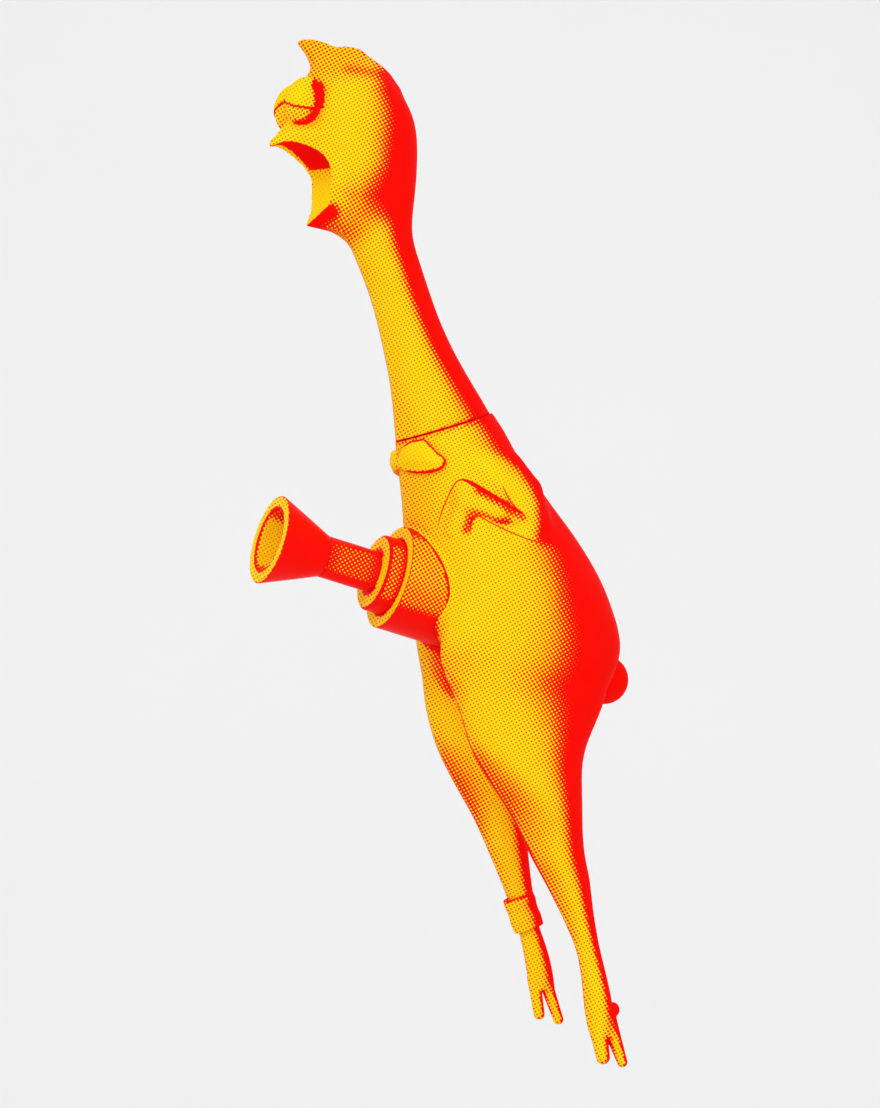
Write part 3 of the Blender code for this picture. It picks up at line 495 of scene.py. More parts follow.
# ------------------------------------------------------------------ meshing
def surface_nets(f, lo, hi, h):
    lo = np.array(lo, float)
    n = np.ceil((np.array(hi, float) - lo) / h).astype(int) + 1
    ax = [(lo[i] + h * np.arange(n[i])).astype(np.float32) for i in range(3)]
    F = np.empty(tuple(n), np.float32)
    step = max(1, int(1.2e6 // (n[1] * n[2])))
    for i in range(0, n[0], step):
        X, Y, Z = np.meshgrid(ax[0][i:i + step], ax[1], ax[2], indexing="ij")
        F[i:i + step] = f(X, Y, Z)
    inside = F < 0
    cn = n - 1
    acc_i, acc_p = [], []
    edges = []
    for a in range(3):
        s0 = [slice(None)] * 3
        s1 = [slice(None)] * 3
        s0[a], s1[a] = slice(0, -1), slice(1, None)
        cross = inside[tuple(s0)] != inside[tuple(s1)]
        idx = np.argwhere(cross)
        f0 = F[tuple(s0)][cross]
        f1 = F[tuple(s1)][cross]
        p = idx.astype(float)
        p[:, a] += f0 / (f0 - f1)
        b, c = (a + 1) % 3, (a + 2) % 3
        ids = []
        ok = np.ones(len(idx), bool)
        for ob, oc in ((0, 0), (-1, 0), (-1, -1), (0, -1)):
            q = idx.copy()
            q[:, b] += ob
            q[:, c] += oc
            good = (q[:, b] >= 0) & (q[:, c] >= 0) & (q[:, b] < cn[b]) & (q[:, c] < cn[c])
            ok &= good
            flat = (q[:, 0] * cn[1] + q[:, 1]) * cn[2] + q[:, 2]
            flat = np.where(good, flat, -1)
            ids.append(flat)
            acc_i.append(flat[good])
            acc_p.append(p[good])
        quad = np.stack(ids, 1)[ok]
        flip = (f0 > 0)[ok]
        quad[flip] = quad[flip][:, ::-1]
        edges.append(quad)
    ai = np.concatenate(acc_i)
    apn = np.concatenate(acc_p)
    uniq, inv = np.unique(ai, return_inverse=True)
    cnt = np.bincount(inv)
    pos = np.stack([np.bincount(inv, apn[:, k]) / cnt for k in range(3)], 1)
    quads = np.searchsorted(uniq, np.concatenate(edges))
    return pos * h + lo, quads


def value(f, p):
    return f(p[:, 0].astype(np.float32), p[:, 1].astype(np.float32), p[:, 2].astype(np.float32)).astype(float)


def gradient(f, p, e=0.12):
    g = np.empty_like(p)
    for k in range(3):
        o = np.zeros(3)
        o[k] = e
        g[:, k] = (value(f, p + o) - value(f, p - o)) / (2 * e)
    return g


def settle(f, p, quads, h, rounds=3):
    """Even out the vertices along the surface, then put them exactly on it."""
    e = np.concatenate([quads[:, [0, 1]], quads[:, [1, 2]], quads[:, [2, 3]], quads[:, [3, 0]]])
    e = np.unique(np.sort(e, 1), axis=0)
    deg = np.bincount(e.ravel(), minlength=len(p)).astype(float)
    for r in range(rounds):
        s = np.zeros_like(p)
        for k in range(3):
            s[:, k] = np.bincount(e[:, 0], p[e[:, 1], k], len(p)) + np.bincount(e[:, 1], p[e[:, 0], k], len(p))
        p = p + 0.6 * (s / deg[:, None] - p)
        g = gradient(f, p)
        d = value(f, p)
        step = d[:, None] * g / np.maximum((g * g).sum(1), 0.2)[:, None]
        ln = np.linalg.norm(step, axis=1)
        p = p - step * np.minimum(1, 0.8 * h / np.maximum(ln, 1e-9))[:, None]
    return p


def make_mesh(name, verts, faces):
    me = bpy.data.meshes.new(name)
    me.from_pydata((np.asarray(verts) * MM).tolist(), [], [list(map(int, f)) for f in faces])
    me.update()
    ob = bpy.data.objects.new(name, me)
    bpy.context.scene.collection.objects.link(ob)
    return ob


def solid(name, f, lo, hi, h, rounds=3):
    p, q = surface_nets(f, lo, hi, h)
    p = settle(f, p, q, h, rounds)
    return make_mesh(name, p, q)


def keep_side(ob, point, normal, y_side=0):
    """Cut the closed mesh by a plane, keep what lies behind normal, close the cut."""
    bm = bmesh.new()
    bm.from_mesh(ob.data)
    geom = list(bm.verts) + list(bm.edges) + list(bm.faces)
    res = bmesh.ops.bisect_plane(bm, geom=geom, dist=1e-7, plane_co=Vector(point) * MM,
                                 plane_no=Vector(normal), clear_outer=True, clear_inner=False)
    cut = [e for e in res["geom_cut"] if isinstance(e, bmesh.types.BMEdge)]
    if cut:
        bmesh.ops.holes_fill(bm, edges=cut, sides=0)
    bm.to_mesh(ob.data)
    bm.free()
    return ob


def boolean(target, cutter, how='DIFFERENCE'):
    mod = target.modifiers.new("op", 'BOOLEAN')
    mod.operation = how
    mod.solver = 'EXACT'
    mod.object = cutter
    dg = bpy.context.evaluated_depsgraph_get()
    me = bpy.data.meshes.new_from_object(target.evaluated_get(dg))
    target.modifiers.clear()
    target.data = me
    bpy.data.objects.remove(cutter, do_unlink=True)
    return target


def frame_for(axis):
    axis = np.asarray(axis, float)
    side = np.array([0.0, 1.0, 0.0])
    e1 = np.cross(side, axis)
    e1 /= np.linalg.norm(e1)
    return axis, e1, np.cross(axis, e1)


def rounded(profile, radius=0.35, steps=3):
    """Round every corner of a closed (radius, along) outline a little."""
    out = []
    n = len(profile)
    for i in range(n):
        p0, p1, p2 = (np.array(profile[i - 1][:2], float), np.array(profile[i][:2], float),
                      np.array(profile[(i + 1) % n][:2], float))
        r = profile[i][2] if len(profile[i]) > 2 else radius
        if p1[0] <= 0.0 or r <= 0:
            out.append(tuple(p1))
            continue
        a, b = p0 - p1, p2 - p1
        la, lb = np.linalg.norm(a), np.linalg.norm(b)
        k = min(r, 0.45 * la, 0.45 * lb)
        a, b = p1 + a / la * k, p1 + b / lb * k
        for t in np.linspace(0, 1, steps + 1):
            q = (1 - t) ** 2 * a + 2 * t * (1 - t) * p1 + t * t * b
            out.append((max(q[0], 0.0), q[1]))
    return out


def turned(name, origin, axis, profile, n=144):
    axis, e1, e2 = frame_for(axis)
    o = np.asarray(origin, float)
    verts, index = [], []
    ang = 2 * np.pi * np.arange(n) / n
    circle = np.cos(ang)[:, None] * e1 + np.sin(ang)[:, None] * e2
    count = 0
    for r, s in profile:
        if r <= 1e-9:
            verts.append((o + axis * s)[None])
            index.append([count])
            count += 1
        else:
            verts.append(o + axis * s + circle * r)
            index.append(list(range(count, count + n)))
            count += n
    faces = []
    closed = all(r > 1e-9 for r, s in profile)
    m = len(profile)
    for k in range(m if closed else m - 1):
        a, b = index[k], index[(k + 1) % m]
        if len(a) == 1 and len(b) == 1:
            continue
        for i in range(n):
            j = (i + 1) % n
            if len(a) == 1:
                faces.append((a[0], b[j], b[i]))
            elif len(b) == 1:
                faces.append((a[i], a[j], b[0]))
            else:
                faces.append((a[i], a[j], b[j], b[i]))
    ob = make_mesh(name, np.concatenate(verts), faces)
    bm = bmesh.new()
    bm.from_mesh(ob.data)
    bmesh.ops.recalc_face_normals(bm, faces=bm.faces)
    bm.to_mesh(ob.data)
    bm.free()
    return ob


# ------------------------------------------------------------------ paint
# Painted shade: the red amount follows the rest normal's x, yellow facing front and red facing back; the first table
# moves that boundary with height, the second gives the red amount.
SHADE_SHIFT = np.array([(-320, -.2), (-268, -.18), (-245, -.04), (-205, -.04), (-180, -.12), (-150, -.12), (-125, .06), (-100, .0), (-80, -.07), (-60, -.14),
                  (-35, -.14), (-10, -.2), (5, -.1), (20, 0), (40, .12), (60, .15), (91, .06), (105, .2),
                  (125, .02), (140, -.1), (155, -.14), (165, -.35), (180, -.5)], float)
SHADE_RAMP = np.array([(-1, 1.15), (-.30, 1.05), (-.20, .95), (0.0, .55), (.12, .42), (.25, .32), (.4, .28), (.6, .26),
                 (.85, .26), (.95, .29), (1.0, .33)], float)


def occlusion(p, n):
    o = np.zeros(len(p))
    for h, w in ((1.0, .35), (2.5, .35), (6.0, .3)):
        o += w * (1 - np.clip(value(everything, p + n * h) / h, 0, 1))
    return o


def painted_skin_shade(p, n, crease_shade=1.0, underside_shade=1.0):
    # painted shade: red as the normal turns back, more on faces pointing down, less on faces pointing up, and more in
    # creases where other surfaces close in
    s = np.interp(p[:, 2], SHADE_SHIFT[:, 0], SHADE_SHIFT[:, 1])
    t = np.interp(n[:, 0] - s, SHADE_RAMP[:, 0], SHADE_RAMP[:, 1])
    t = t + underside_shade * 1.3 * np.clip(-n[:, 2] - 0.3, 0, 1)
    t = t - 0.25 * np.clip(n[:, 2] - 0.45, 0, 1)
    t = t + crease_shade * 1.5 * np.clip(occlusion(p, n) - 0.14, 0, 1)
    return t


def segment_distance(p, a, b):
    a, b = np.asarray(a, float), np.asarray(b, float)
    ab = b - a
    t = np.clip(((p - a) @ ab) / (ab @ ab), 0, 1)
    return np.linalg.norm(p - a - t[:, None] * ab, axis=1)


def stroke(p, points, radius, strength):
    """A soft painted line through 3-D points, on both flanks."""
    q = p.copy()
    q[:, 1] = np.abs(q[:, 1])
    d = np.full(len(p), 1e9)
    for a, b in zip(points[:-1], points[1:]):
        d = np.minimum(d, segment_distance(q, a, b))
    return strength * np.exp(-(d / radius) ** 2)


def coat(ob, tone, normals=None, fields=None):
    """Store rest place, rest normal and the red amount (painted shade and painted lines) on the mesh; set its normals.
    """
    me = ob.data
    co = np.empty(len(me.vertices) * 3, np.float32)
    me.vertices.foreach_get("co", co)
    co = co.reshape(-1, 3).astype(float) / MM
    me.polygons.foreach_set("use_smooth", np.ones(len(me.polygons), bool))
    if normals is None:
        me.update()
        nn = np.empty(len(me.vertices) * 3, np.float32)
        me.vertices.foreach_get("normal", nn)
        n = nn.reshape(-1, 3).astype(float)
    else:
        n = normals(co)
    # the red amount here is painted shade together with painted lines
    t = tone(co, n)
    for name, kind, data, key in (("rest", 'FLOAT_VECTOR', co, "vector"), ("restn", 'FLOAT_VECTOR', n, "vector"),
                                  ("tone", 'FLOAT', t, "value")):
        at = me.attributes.get(name) or me.attributes.new(name, kind, 'POINT')
        at.data.foreach_set(key, np.ascontiguousarray(data, np.float32).ravel())
    return co, n


def field_normals(f):
    def g(p):
        v = gradient(f, p, 0.25)
        return v / np.maximum(np.linalg.norm(v, axis=1), 1e-9)[:, None]
    return g


def set_normals(ob, f, tol=0.06):
    """Smooth normals from the field on its surface, flat ones on cut faces."""
    me = ob.data
    co = np.empty(len(me.vertices) * 3, np.float32)
    me.vertices.foreach_get("co", co)
    co = co.reshape(-1, 3).astype(float) / MM
    on = np.abs(value(f, co)) < tol
    n = field_normals(f)(co)
    nl = len(me.loops)
    lv = np.empty(nl, np.int32)
    me.loops.foreach_get("vertex_index", lv)
    fn = np.empty(len(me.polygons) * 3, np.float32)
    me.polygons.foreach_get("normal", fn)
    fn = fn.reshape(-1, 3)
    tot = np.empty(len(me.polygons), np.int32)
    me.polygons.foreach_get("loop_total", tot)
    face_of = np.repeat(np.arange(len(tot)), tot)
    agree = (n[lv] * fn[face_of]).sum(1) > 0.55
    use = on[lv] & agree
    ln = np.where(use[:, None], n[lv], fn[face_of])
    me.normals_split_custom_set(ln.tolist())


def curve_points(points, n=5):
    """A smooth run through the points."""
    p = [np.array(q, float) for q in points]
    p = [2 * p[0] - p[1]] + p + [2 * p[-1] - p[-2]]
    out = []
    for i in range(1, len(p) - 2):
        for t in np.linspace(0, 1, n + 1)[:-1]:
            a, b, c, d = p[i - 1:i + 3]
            out.append(0.5 * (2 * b + (c - a) * t + (2 * a - 5 * b + 4 * c - d) * t * t
                              + (3 * b - a - 3 * c + d) * t ** 3))
    out.append(p[-2])
    return np.array(out)


def ink(ob, co, n, curves=(), planes=(), faces=0.15):
    """Painted lines: signed distance to the nearest one, and how wide it is there."""
    q = co.copy()
    q[:, 1] = np.abs(q[:, 1])
    m = n.copy()
    m[:, 1] = np.abs(m[:, 1]) * np.sign(np.where(np.abs(co[:, 1]) < 1e-6, 1, co[:, 1] * n[:, 1]))
    u, v = view_uv(q[:, 0], q[:, 1], q[:, 2])
    best = np.full(len(co), 50.0)
    sign = np.ones(len(co))
    width = np.zeros(len(co))
    ok = (m @ AX_D) > faces
    for pts in curves:
        c = curve_points(pts)
        for a, b in zip(c[:-1], c[1:]):
            ex, ey = b[0] - a[0], b[1] - a[1]
            wx, wy = u - a[0], v - a[1]
            t = np.clip((wx * ex + wy * ey) / (ex * ex + ey * ey + 1e-9), 0, 1)
            d = np.hypot(wx - ex * t, wy - ey * t)
            near = ok & (d < best)
            best = np.where(near, d, best)
            sign = np.where(near, np.sign(ex * wy - ey * wx), sign)
            width = np.where(near, a[2] + (b[2] - a[2]) * t, width)
    for f, w in planes:
        d = f(co)
        near = np.abs(d) < best
        best = np.where(near, np.abs(d), best)
        sign = np.where(near, np.sign(d), sign)
        width = np.where(near, w, width)
    wide = np.where(best > 1.6, -1.0, width)
    for name, data in (("ink", sign * best), ("inkw", wide)):
        at = ob.data.attributes.get(name) or ob.data.attributes.new(name, 'FLOAT', 'POINT')
        at.data.foreach_set("value", np.ascontiguousarray(data, np.float32))


def px(x, y, w=None):
    """Side-view plane place of a point of the drawing grid (0.47 mm squares from the neck seam)."""
    p = ((x - 444.5) * 0.47, -(y - 427.0) * 0.47)
    return p if w is None else p + (w,)


# Painted lines of the wing; the thick middle of the first is painted shade in the fold between upper arm and forearm.
WING_LINES = [
    [px(437.5, 529.2, .05), px(440.8, 515, .3), px(446.7, 500, .32), px(452.5, 488, .34), px(457.5, 481.8, .36),
     px(463, 480.5, .5), px(470, 483.2, .9), px(480, 489.2, 1.15), px(495, 498.2, 1.15), px(510, 506.8, 1.05),
     px(518, 511.7, .8), px(524, 515.8, .2)],
    [px(502.5, 487.5, .2), px(507.2, 497.5, .34), px(511.7, 504.5, .4), px(516, 509, .4)],
    [px(470.5, 534.2, .1), px(470, 527, .4), px(471.7, 520.5, .7), px(475.5, 516.8, .5), px(479.5, 516.7, .36),
     px(486.7, 521.0, .3), px(505, 530.2, .3), px(521.7, 537.3, .3), px(533.3, 541.3, .3), px(540, 541.6, .3),
     px(546.7, 536.7, .25), px(549.8, 526.7, .2), px(550.3, 516.7, .2), px(548.3, 507, .1)],
]
SEAM = lambda p: p @ NECK_AXIS


# ------------------------------------------------------------------ materials
YELLOW = (1.0, 0.67, 0.006, 1.0)
YELLOW_2 = (1.0, 0.665, 0.006, 1.0)
# the red of the painted shade and the painted lines
SHADE_AND_LINE_RED = (0.98, 0.0042, 0.0014, 1.0)
SHADE_AND_LINE_RED_2 = (0.90, 0.0036, 0.0012, 1.0)
PITCH = 1.6


class Net:
    def __init__(self, name):
        self.mat = bpy.data.materials.new(name)
        self.mat.use_nodes = True
        self.t = self.mat.node_tree
        self.t.nodes.clear()
        self.out = self.t.nodes.new("ShaderNodeOutputMaterial")
        self.bsdf = self.t.nodes.new("ShaderNodeBsdfPrincipled")
        self.t.links.new(self.bsdf.outputs[0], self.out.inputs[0])

    def put(self, socket, val):
        if isinstance(val, bpy.types.NodeSocket):
            self.t.links.new(val, socket)
        else:
            socket.default_value = val

    def math(self, op, a, b=None, c=None, clamp=False):
        n = self.t.nodes.new("ShaderNodeMath")
        n.operation = op
        n.use_clamp = clamp
        for i, v in enumerate((a, b, c)):
            if v is not None:
                self.put(n.inputs[i], v)
        return n.outputs[0]

    def dot(self, vec, const):
        n = self.t.nodes.new("ShaderNodeVectorMath")
        n.operation = 'DOT_PRODUCT'
        self.put(n.inputs[0], vec)
        n.inputs[1].default_value = tuple(map(float, const))
        return n.outputs["Value"]

    def attr(self, name, what="Fac"):
        n = self.t.nodes.new("ShaderNodeAttribute")
        n.attribute_type = 'GEOMETRY'
        n.attribute_name = name
        return n.outputs[what]

    def noise(self, vec, scale, detail=3.0, rough=0.5):
        n = self.t.nodes.new("ShaderNodeTexNoise")
        self.put(n.inputs["Vector"], vec)
        n.inputs["Scale"].default_value = scale
        n.inputs["Detail"].default_value = detail
        n.inputs["Roughness"].default_value = rough
        return n.outputs["Fac"] if "Fac" in n.outputs else n.outputs[0]

    def mix(self, fac, a, b):
        n = self.t.nodes.new("ShaderNodeMix")
        n.data_type = 'RGBA'
        self.put(n.inputs["Factor"] if False else n.inputs[0], fac)
        self.put(n.inputs[6], a)
        self.put(n.inputs[7], b)
        return n.outputs[2]

    def fmix(self, fac, a, b):
        n = self.t.nodes.new("ShaderNodeMix")
        n.data_type = 'FLOAT'
        self.put(n.inputs[0], fac)
        self.put(n.inputs[2], a)
        self.put(n.inputs[3], b)
        return n.outputs[0]

    def bump(self, height, strength, distance):
        n = self.t.nodes.new("ShaderNodeBump")
        n.inputs["Strength"].default_value = strength
        n.inputs["Distance"].default_value = distance
        self.put(n.inputs["Height"], height)
        self.put(self.bsdf.inputs["Normal"], n.outputs[0])


def shade_printed(name, rough, coat, grain, soft=0.2, spec=0.14):
    """Yellow moulding with red halftone dots; the dots grow with the painted shade and painted lines stored on the
    mesh.
    """
    k = Net(name)
    rest, normal = k.attr("rest", "Vector"), k.attr("restn", "Vector")
    tone = k.attr("tone")
    u, v, w = k.dot(rest, AX_R), k.dot(rest, AX_U), k.dot(rest, AX_D)
    nd = k.math('ABSOLUTE', k.dot(normal, AX_D))
    nv = k.math('ABSOLUTE', k.dot(normal, AX_U))
    front = k.math('LESS_THAN', nd, 0.27)
    top = k.math('MULTIPLY', k.math('GREATER_THAN', nv, 0.80), k.math('LESS_THAN', nd, 0.45))
    across = k.fmix(k.math('MULTIPLY', front, k.math('SUBTRACT', 1.0, top)), u, w)
    up = k.fmix(top, v, w)
    f = 2 * math.pi / PITCH
    ca, sa = math.cos(math.radians(30)) * f, math.sin(math.radians(30)) * f
    a = k.math('ADD', k.math('MULTIPLY', across, ca), k.math('MULTIPLY', up, sa))
    b = k.math('SUBTRACT', k.math('MULTIPLY', up, ca), k.math('MULTIPLY', across, sa))
    dots = k.math('MULTIPLY_ADD', k.math('ADD', k.math('COSINE', a), k.math('COSINE', b)), 0.25, 0.5)
    wob = k.math('MULTIPLY_ADD', k.noise(rest, 0.06, 2.0), 0.10, -0.05)
    wob = k.math('MULTIPLY', wob, k.math('MULTIPLY', k.math('SUBTRACT', 1.0, tone, clamp=True), 4.0, clamp=True))
    t = k.math('ADD', k.math('MULTIPLY_ADD', tone, 1.0 + soft, -soft * 0.5), wob)
    # red where the painted shade beats the dot screen, or on a painted line
    shade_and_line_mask = k.math('MULTIPLY_ADD', k.math('SUBTRACT', t, k.math('SUBTRACT', 1.0, dots)), 1.0 / soft, 0.5, clamp=True)
    line = k.math('SUBTRACT', k.attr("inkw"), k.math('ABSOLUTE', k.attr("ink")))
    line = k.math('MULTIPLY_ADD', line, 4.0, 0.5, clamp=True)
    shade_and_line_mask = k.math('MAXIMUM', shade_and_line_mask, line)
    mott = k.noise(rest, 0.035, 3.0, 0.6)
    mott = k.math('MULTIPLY_ADD', mott, 1.6, -0.3, clamp=True)
    col = k.mix(shade_and_line_mask, k.mix(mott, YELLOW, YELLOW_2), k.mix(mott, SHADE_AND_LINE_RED, SHADE_AND_LINE_RED_2))
    k.put(k.bsdf.inputs["Base Color"], col)
    fine = k.noise(rest, 2.2, 4.0, 0.6)
    k.put(k.bsdf.inputs["Roughness"], k.math('ADD', k.math('MULTIPLY_ADD', fine, 0.14, rough - 0.07),
                                             k.math('MULTIPLY', shade_and_line_mask, -0.03)))
    k.bsdf.inputs["Specular IOR Level"].default_value = spec
    if "Coat Weight" in k.bsdf.inputs and coat:
        k.bsdf.inputs["Coat Weight"].default_value = coat
        k.bsdf.inputs["Coat Roughness"].default_value = 0.25
    height = k.math('ADD', k.math('MULTIPLY', fine, 0.6), k.math('MULTIPLY', k.noise(rest, 0.5, 3.0), 0.4))
    k.bump(height, grain, 0.00025)
    return k.mat


def metal(name, dark, light, rough, stretch):
    k = Net(name)
    tc = k.t.nodes.new("ShaderNodeTexCoord")
    mp = k.t.nodes.new("ShaderNodeMapping")
    mp.inputs["Scale"].default_value = stretch
    k.t.links.new(tc.outputs["Object"], mp.inputs["Vector"])
    n = k.noise(mp.outputs[0], 1.0, 5.0, 0.65)
    k.put(k.bsdf.inputs["Base Color"], k.mix(n, dark, light))
    k.put(k.bsdf.inputs["Roughness"], k.math('MULTIPLY_ADD', n, 0.22, rough))
    k.bsdf.inputs["Metallic"].default_value = 1.0
    k.bump(n, 0.25, 0.00005)
    return k.mat


RUBBER = shade_printed("rubber_print", 0.60, 0.0, 0.35, spec=0.012)
PLASTIC = shade_printed("plastic_print", 0.45, 0.0, 0.10, spec=0.03)
STEEL = metal("steel", (0.42, 0.42, 0.44, 1), (0.68, 0.68, 0.70, 1), 0.22, (300, 2500, 300))
BRASS = metal("brass", (0.55, 0.34, 0.10, 1), (0.80, 0.56, 0.22, 1), 0.25, (500, 500, 500))


def finish_piece(ob, mat, body, nodes=(), slot=None):
    ob.data.materials.clear()
    ob.data.materials.append(mat)
    if body:
        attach(ob, body)
    if nodes:
        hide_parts(*nodes)
    return ob


# ------------------------------------------------------------------ skins
Q = 1.0


def boss_local(x, y, z):
    qx, qy, qz = x - BOSS[0], y - BOSS[1], z - BOSS[2]
    s = qx * PULLEY_AXIS[0] + qz * PULLEY_AXIS[2]
    return np.sqrt(np.maximum(qx * qx + qy * qy + qz * qz - s * s, 0)), s


def torso_shell_field(x, y, z):
    d = body_field(x, y, z)
    seam = x * NECK_AXIS[0] + z * NECK_AXIS[2]
    r, s = boss_local(x, y, z)
    sleeve = np.maximum(r - 27.5, np.maximum(-36.0 - s, s - 10.0))
    collar_r = np.sqrt(np.maximum(x * x + y * y + z * z - seam * seam, 0))
    collar = np.maximum(18.0 - collar_r, -8.0 - seam)
    inner = trunk(x, y, z) + 3.0
    inner = np.maximum(inner, -125.0 - z)
    inner = np.maximum(inner, -sleeve)
    inner = np.maximum(inner, -collar)
    return np.maximum(d, -inner)


def prune(ob, keep, planes):
    """Cut the mesh by planes, each working on its own part, and close each cut. planes: (z, side)."""
    bm = bmesh.new()
    bm.from_mesh(ob.data)
    for point, normal, pick, drop in planes:
        geom = [f for f in bm.faces if pick(f.calc_center_median() / MM)]
        geom += list({e for f in geom for e in f.edges}) + list({v for f in geom for v in f.verts})
        bmesh.ops.bisect_plane(bm, geom=geom, dist=1e-7, plane_co=Vector(point) * MM, plane_no=Vector(normal))
        gone = [v for v in bm.verts if drop(v.co / MM)]
        bmesh.ops.delete(bm, geom=gone, context='VERTS')
        edge = [e for e in bm.edges if e.is_boundary]
        if edge:
            bmesh.ops.holes_fill(bm, edges=edge, sides=0)
    bm.to_mesh(ob.data)
    bm.free()
    return ob


def beyond(point, normal, tol=1e-4):
    p, n = Vector(point), Vector(normal)
    return lambda c: (c - p).dot(n) > tol


def everywhere(c):
    return True


def drop_islands(ob, least=60):
    bm = bmesh.new()
    bm.from_mesh(ob.data)
    seen, small = set(), []
    for v in bm.verts:
        if v.index in seen:
            continue
        stack, part = [v], []
        seen.add(v.index)
        while stack:
            w = stack.pop()
            part.append(w)
            for e in w.link_edges:
                o = e.other_vert(w)
                if o.index not in seen:
                    seen.add(o.index)
                    stack.append(o)
        if len(part) < least:
            small += part
    if small:
        bmesh.ops.delete(bm, geom=small, context='VERTS')
    bm.to_mesh(ob.data)
    bm.free()


NA = tuple(NECK_AXIS)
SEAM_GAP = 0.15
CUT_L, CUT_R = -159.0, -137.0


GIRTH = np.array([(-300, 6), (-285, 7), (-250, 6), (-225, 8), (-200, 13), (-170, 20), (-140, 32), (-120, 42),
                  (-90, 46), (-60, 43), (-30, 33), (0, 24), (30, 17), (60, 14.5), (90, 16), (110, 22), (140, 27),
                  (165, 17), (180, 8)], float)


def rim(n, p, wide=0.62):
    """Denser dots where the side turns away."""
    q = n @ AX_D
    r = np.interp(p[:, 2], GIRTH[:, 0], GIRTH[:, 1])
    # only on the side that faces the print's direction, so that the line stays narrow
    band = np.clip((np.sqrt(wide / r) - np.abs(q)) / 0.05, 0, 1) * np.clip((q + 0.09) / 0.04, 0, 1)
    return band * (np.abs(n[:, 2]) < 0.85)


def wing_shade(p):
    """Soft red in the wing's folds."""
    q = p.copy()
    q[:, 1] = np.abs(q[:, 1])
    u, v = view_uv(q[:, 0], q[:, 1], q[:, 2])
    out = np.zeros(len(p))
    for a, b, r, s in ((px(478, 491), px(522, 518), 2.3, 0.55), (px(470, 519), px(466, 530), 2.6, 0.6),
                       (px(540, 510), px(540, 535), 3.2, 0.25)):
        ex, ey = b[0] - a[0], b[1] - a[1]
        t = np.clip(((u - a[0]) * ex + (v - a[1]) * ey) / (ex * ex + ey * ey), 0, 1)
        d = np.hypot(u - a[0] - ex * t, v - a[1] - ey * t)
        out = np.maximum(out, s * np.exp(-(d / r) ** 2))
    return out


ARM_EDGE = [px(497, 444), px(504, 453.5), px(522, 470.6), px(533.8, 488), px(539.7, 503), px(541, 523.5), px(538.5, 540),
            px(541, 556)]


def arm_shade(p, t):
    """The shade behind the upper arm ends along a drawn curve."""
    u, v = view_uv(p[:, 0], np.abs(p[:, 1]), p[:, 2])
    best, sign = np.full(len(p), 99.0), np.ones(len(p))
    for a, b in zip(ARM_EDGE[:-1], ARM_EDGE[1:]):
        ex, ey = b[0] - a[0], b[1] - a[1]
        k = np.clip(((u - a[0]) * ex + (v - a[1]) * ey) / (ex * ex + ey * ey), 0, 1)
        dx, dy = u - a[0] - ex * k, v - a[1] - ey * k
        d = np.hypot(dx, dy)
        near = d < best
        best = np.where(near, d, best)
        sign = np.where(near, np.sign(ex * dy - ey * dx), sign)
    d = sign * best
    goal = np.interp(d, (-14, -7, -3.5, -1.5, 0, 1.0), (.18, .21, .36, .6, .95, 1.15))
    w = step(-v, 8.0, 17.0) * (1 - step(-v, 50.0, 58.0)) * step(d, -16.0, -10.0)
    return t * (1 - w) + goal * w


def torso_tone(p, n):
    # Painted shade on the torso: the skin shade, the shade behind the upper arm and in the wing's folds; the seam's
    # second line and the outlines are painted lines.
    t = painted_skin_shade(p, n, crease_shade=0.3)
    t = arm_shade(p, t)
    t = np.maximum(t, t * 0.5 + wing_shade(p))
    s = p @ NECK_AXIS
    t = t + 0.30 * np.clip(1 - np.abs(s + 1.5) / 0.9, 0, 1)
    t = np.maximum(t, 0.9 * rim(n, p, 0.62))
    edge = 2.2 * (p[:, 1] > 0) * (n[:, 0] > 0) * step(-p[:, 2], 118.0, 136.0)
    t = np.maximum(t, 1.12 * rim(n, p, edge))
    # painted shade under the belly, towards the front
    underside_shade = np.clip(-(p[:, 2] + 98.0) / 12.0, 0, 1) * np.clip((p[:, 2] + 137.0) / 22.0, 0, 1)
    t = t + 0.12 * underside_shade * np.clip(p[:, 0] + 12.0, 0, 14) / 14.0
    # painted shade in the valley between the thighs, fading out above the leg cut
    valley_shade = np.exp(-(p[:, 1] / 9.0) ** 2) * np.clip((p[:, 0] + 22.0) / 10.0, 0, 1) * np.clip(-(p[:, 2] + 92.0) / 10.0, 0, 1)
    t = t + 0.55 * valley_shade * (1 - step(-p[:, 2], 116.0, 136.0))
    # painted shade: the tail nub solid red, in full shade
    nub_in_shade = np.linalg.norm(p - np.array([-81.3, 0, -116.8]), axis=1) < 12.6
    t = np.where(nub_in_shade, 1.15, t)
    return np.clip(t, -0.1, 1.2)


def leg_tone(p, n):
    # painted shade from the skin, weaker under the toes; the edge is the painted front outline
    t = painted_skin_shade(p, n, crease_shade=0.45, underside_shade=np.interp(p[:, 2], (-262.0, -250.0), (0.35, 1.0)))
    edge = 0.5 + 1.7 * (p[:, 1] > 0) * (n[:, 0] > 0) * step(-p[:, 2], 118.0, 136.0) * (1 - step(-p[:, 2], 205.0, 225.0))
    t = np.maximum(t, 1.12 * rim(n, p, edge))
    t = np.where(np.linalg.norm(p - np.array([-77.5, 21.0, -273.2]), axis=1) < 4.0, 1.1, t)
    # painted shade: a little more red on the far leg's front, around its middle height
    far = (p[:, 1] < 0) * np.exp(-((p[:, 2] + 170.0) / 22.0) ** 2)
    t = t + 0.12 * far * np.clip(n[:, 0], 0, 1)
    return np.clip(t, -0.1, 1.2)


def box_of(cx, cy, cz):
    return (cx[0], cy[0], cz[0]), (cx[1], cy[1], cz[1])


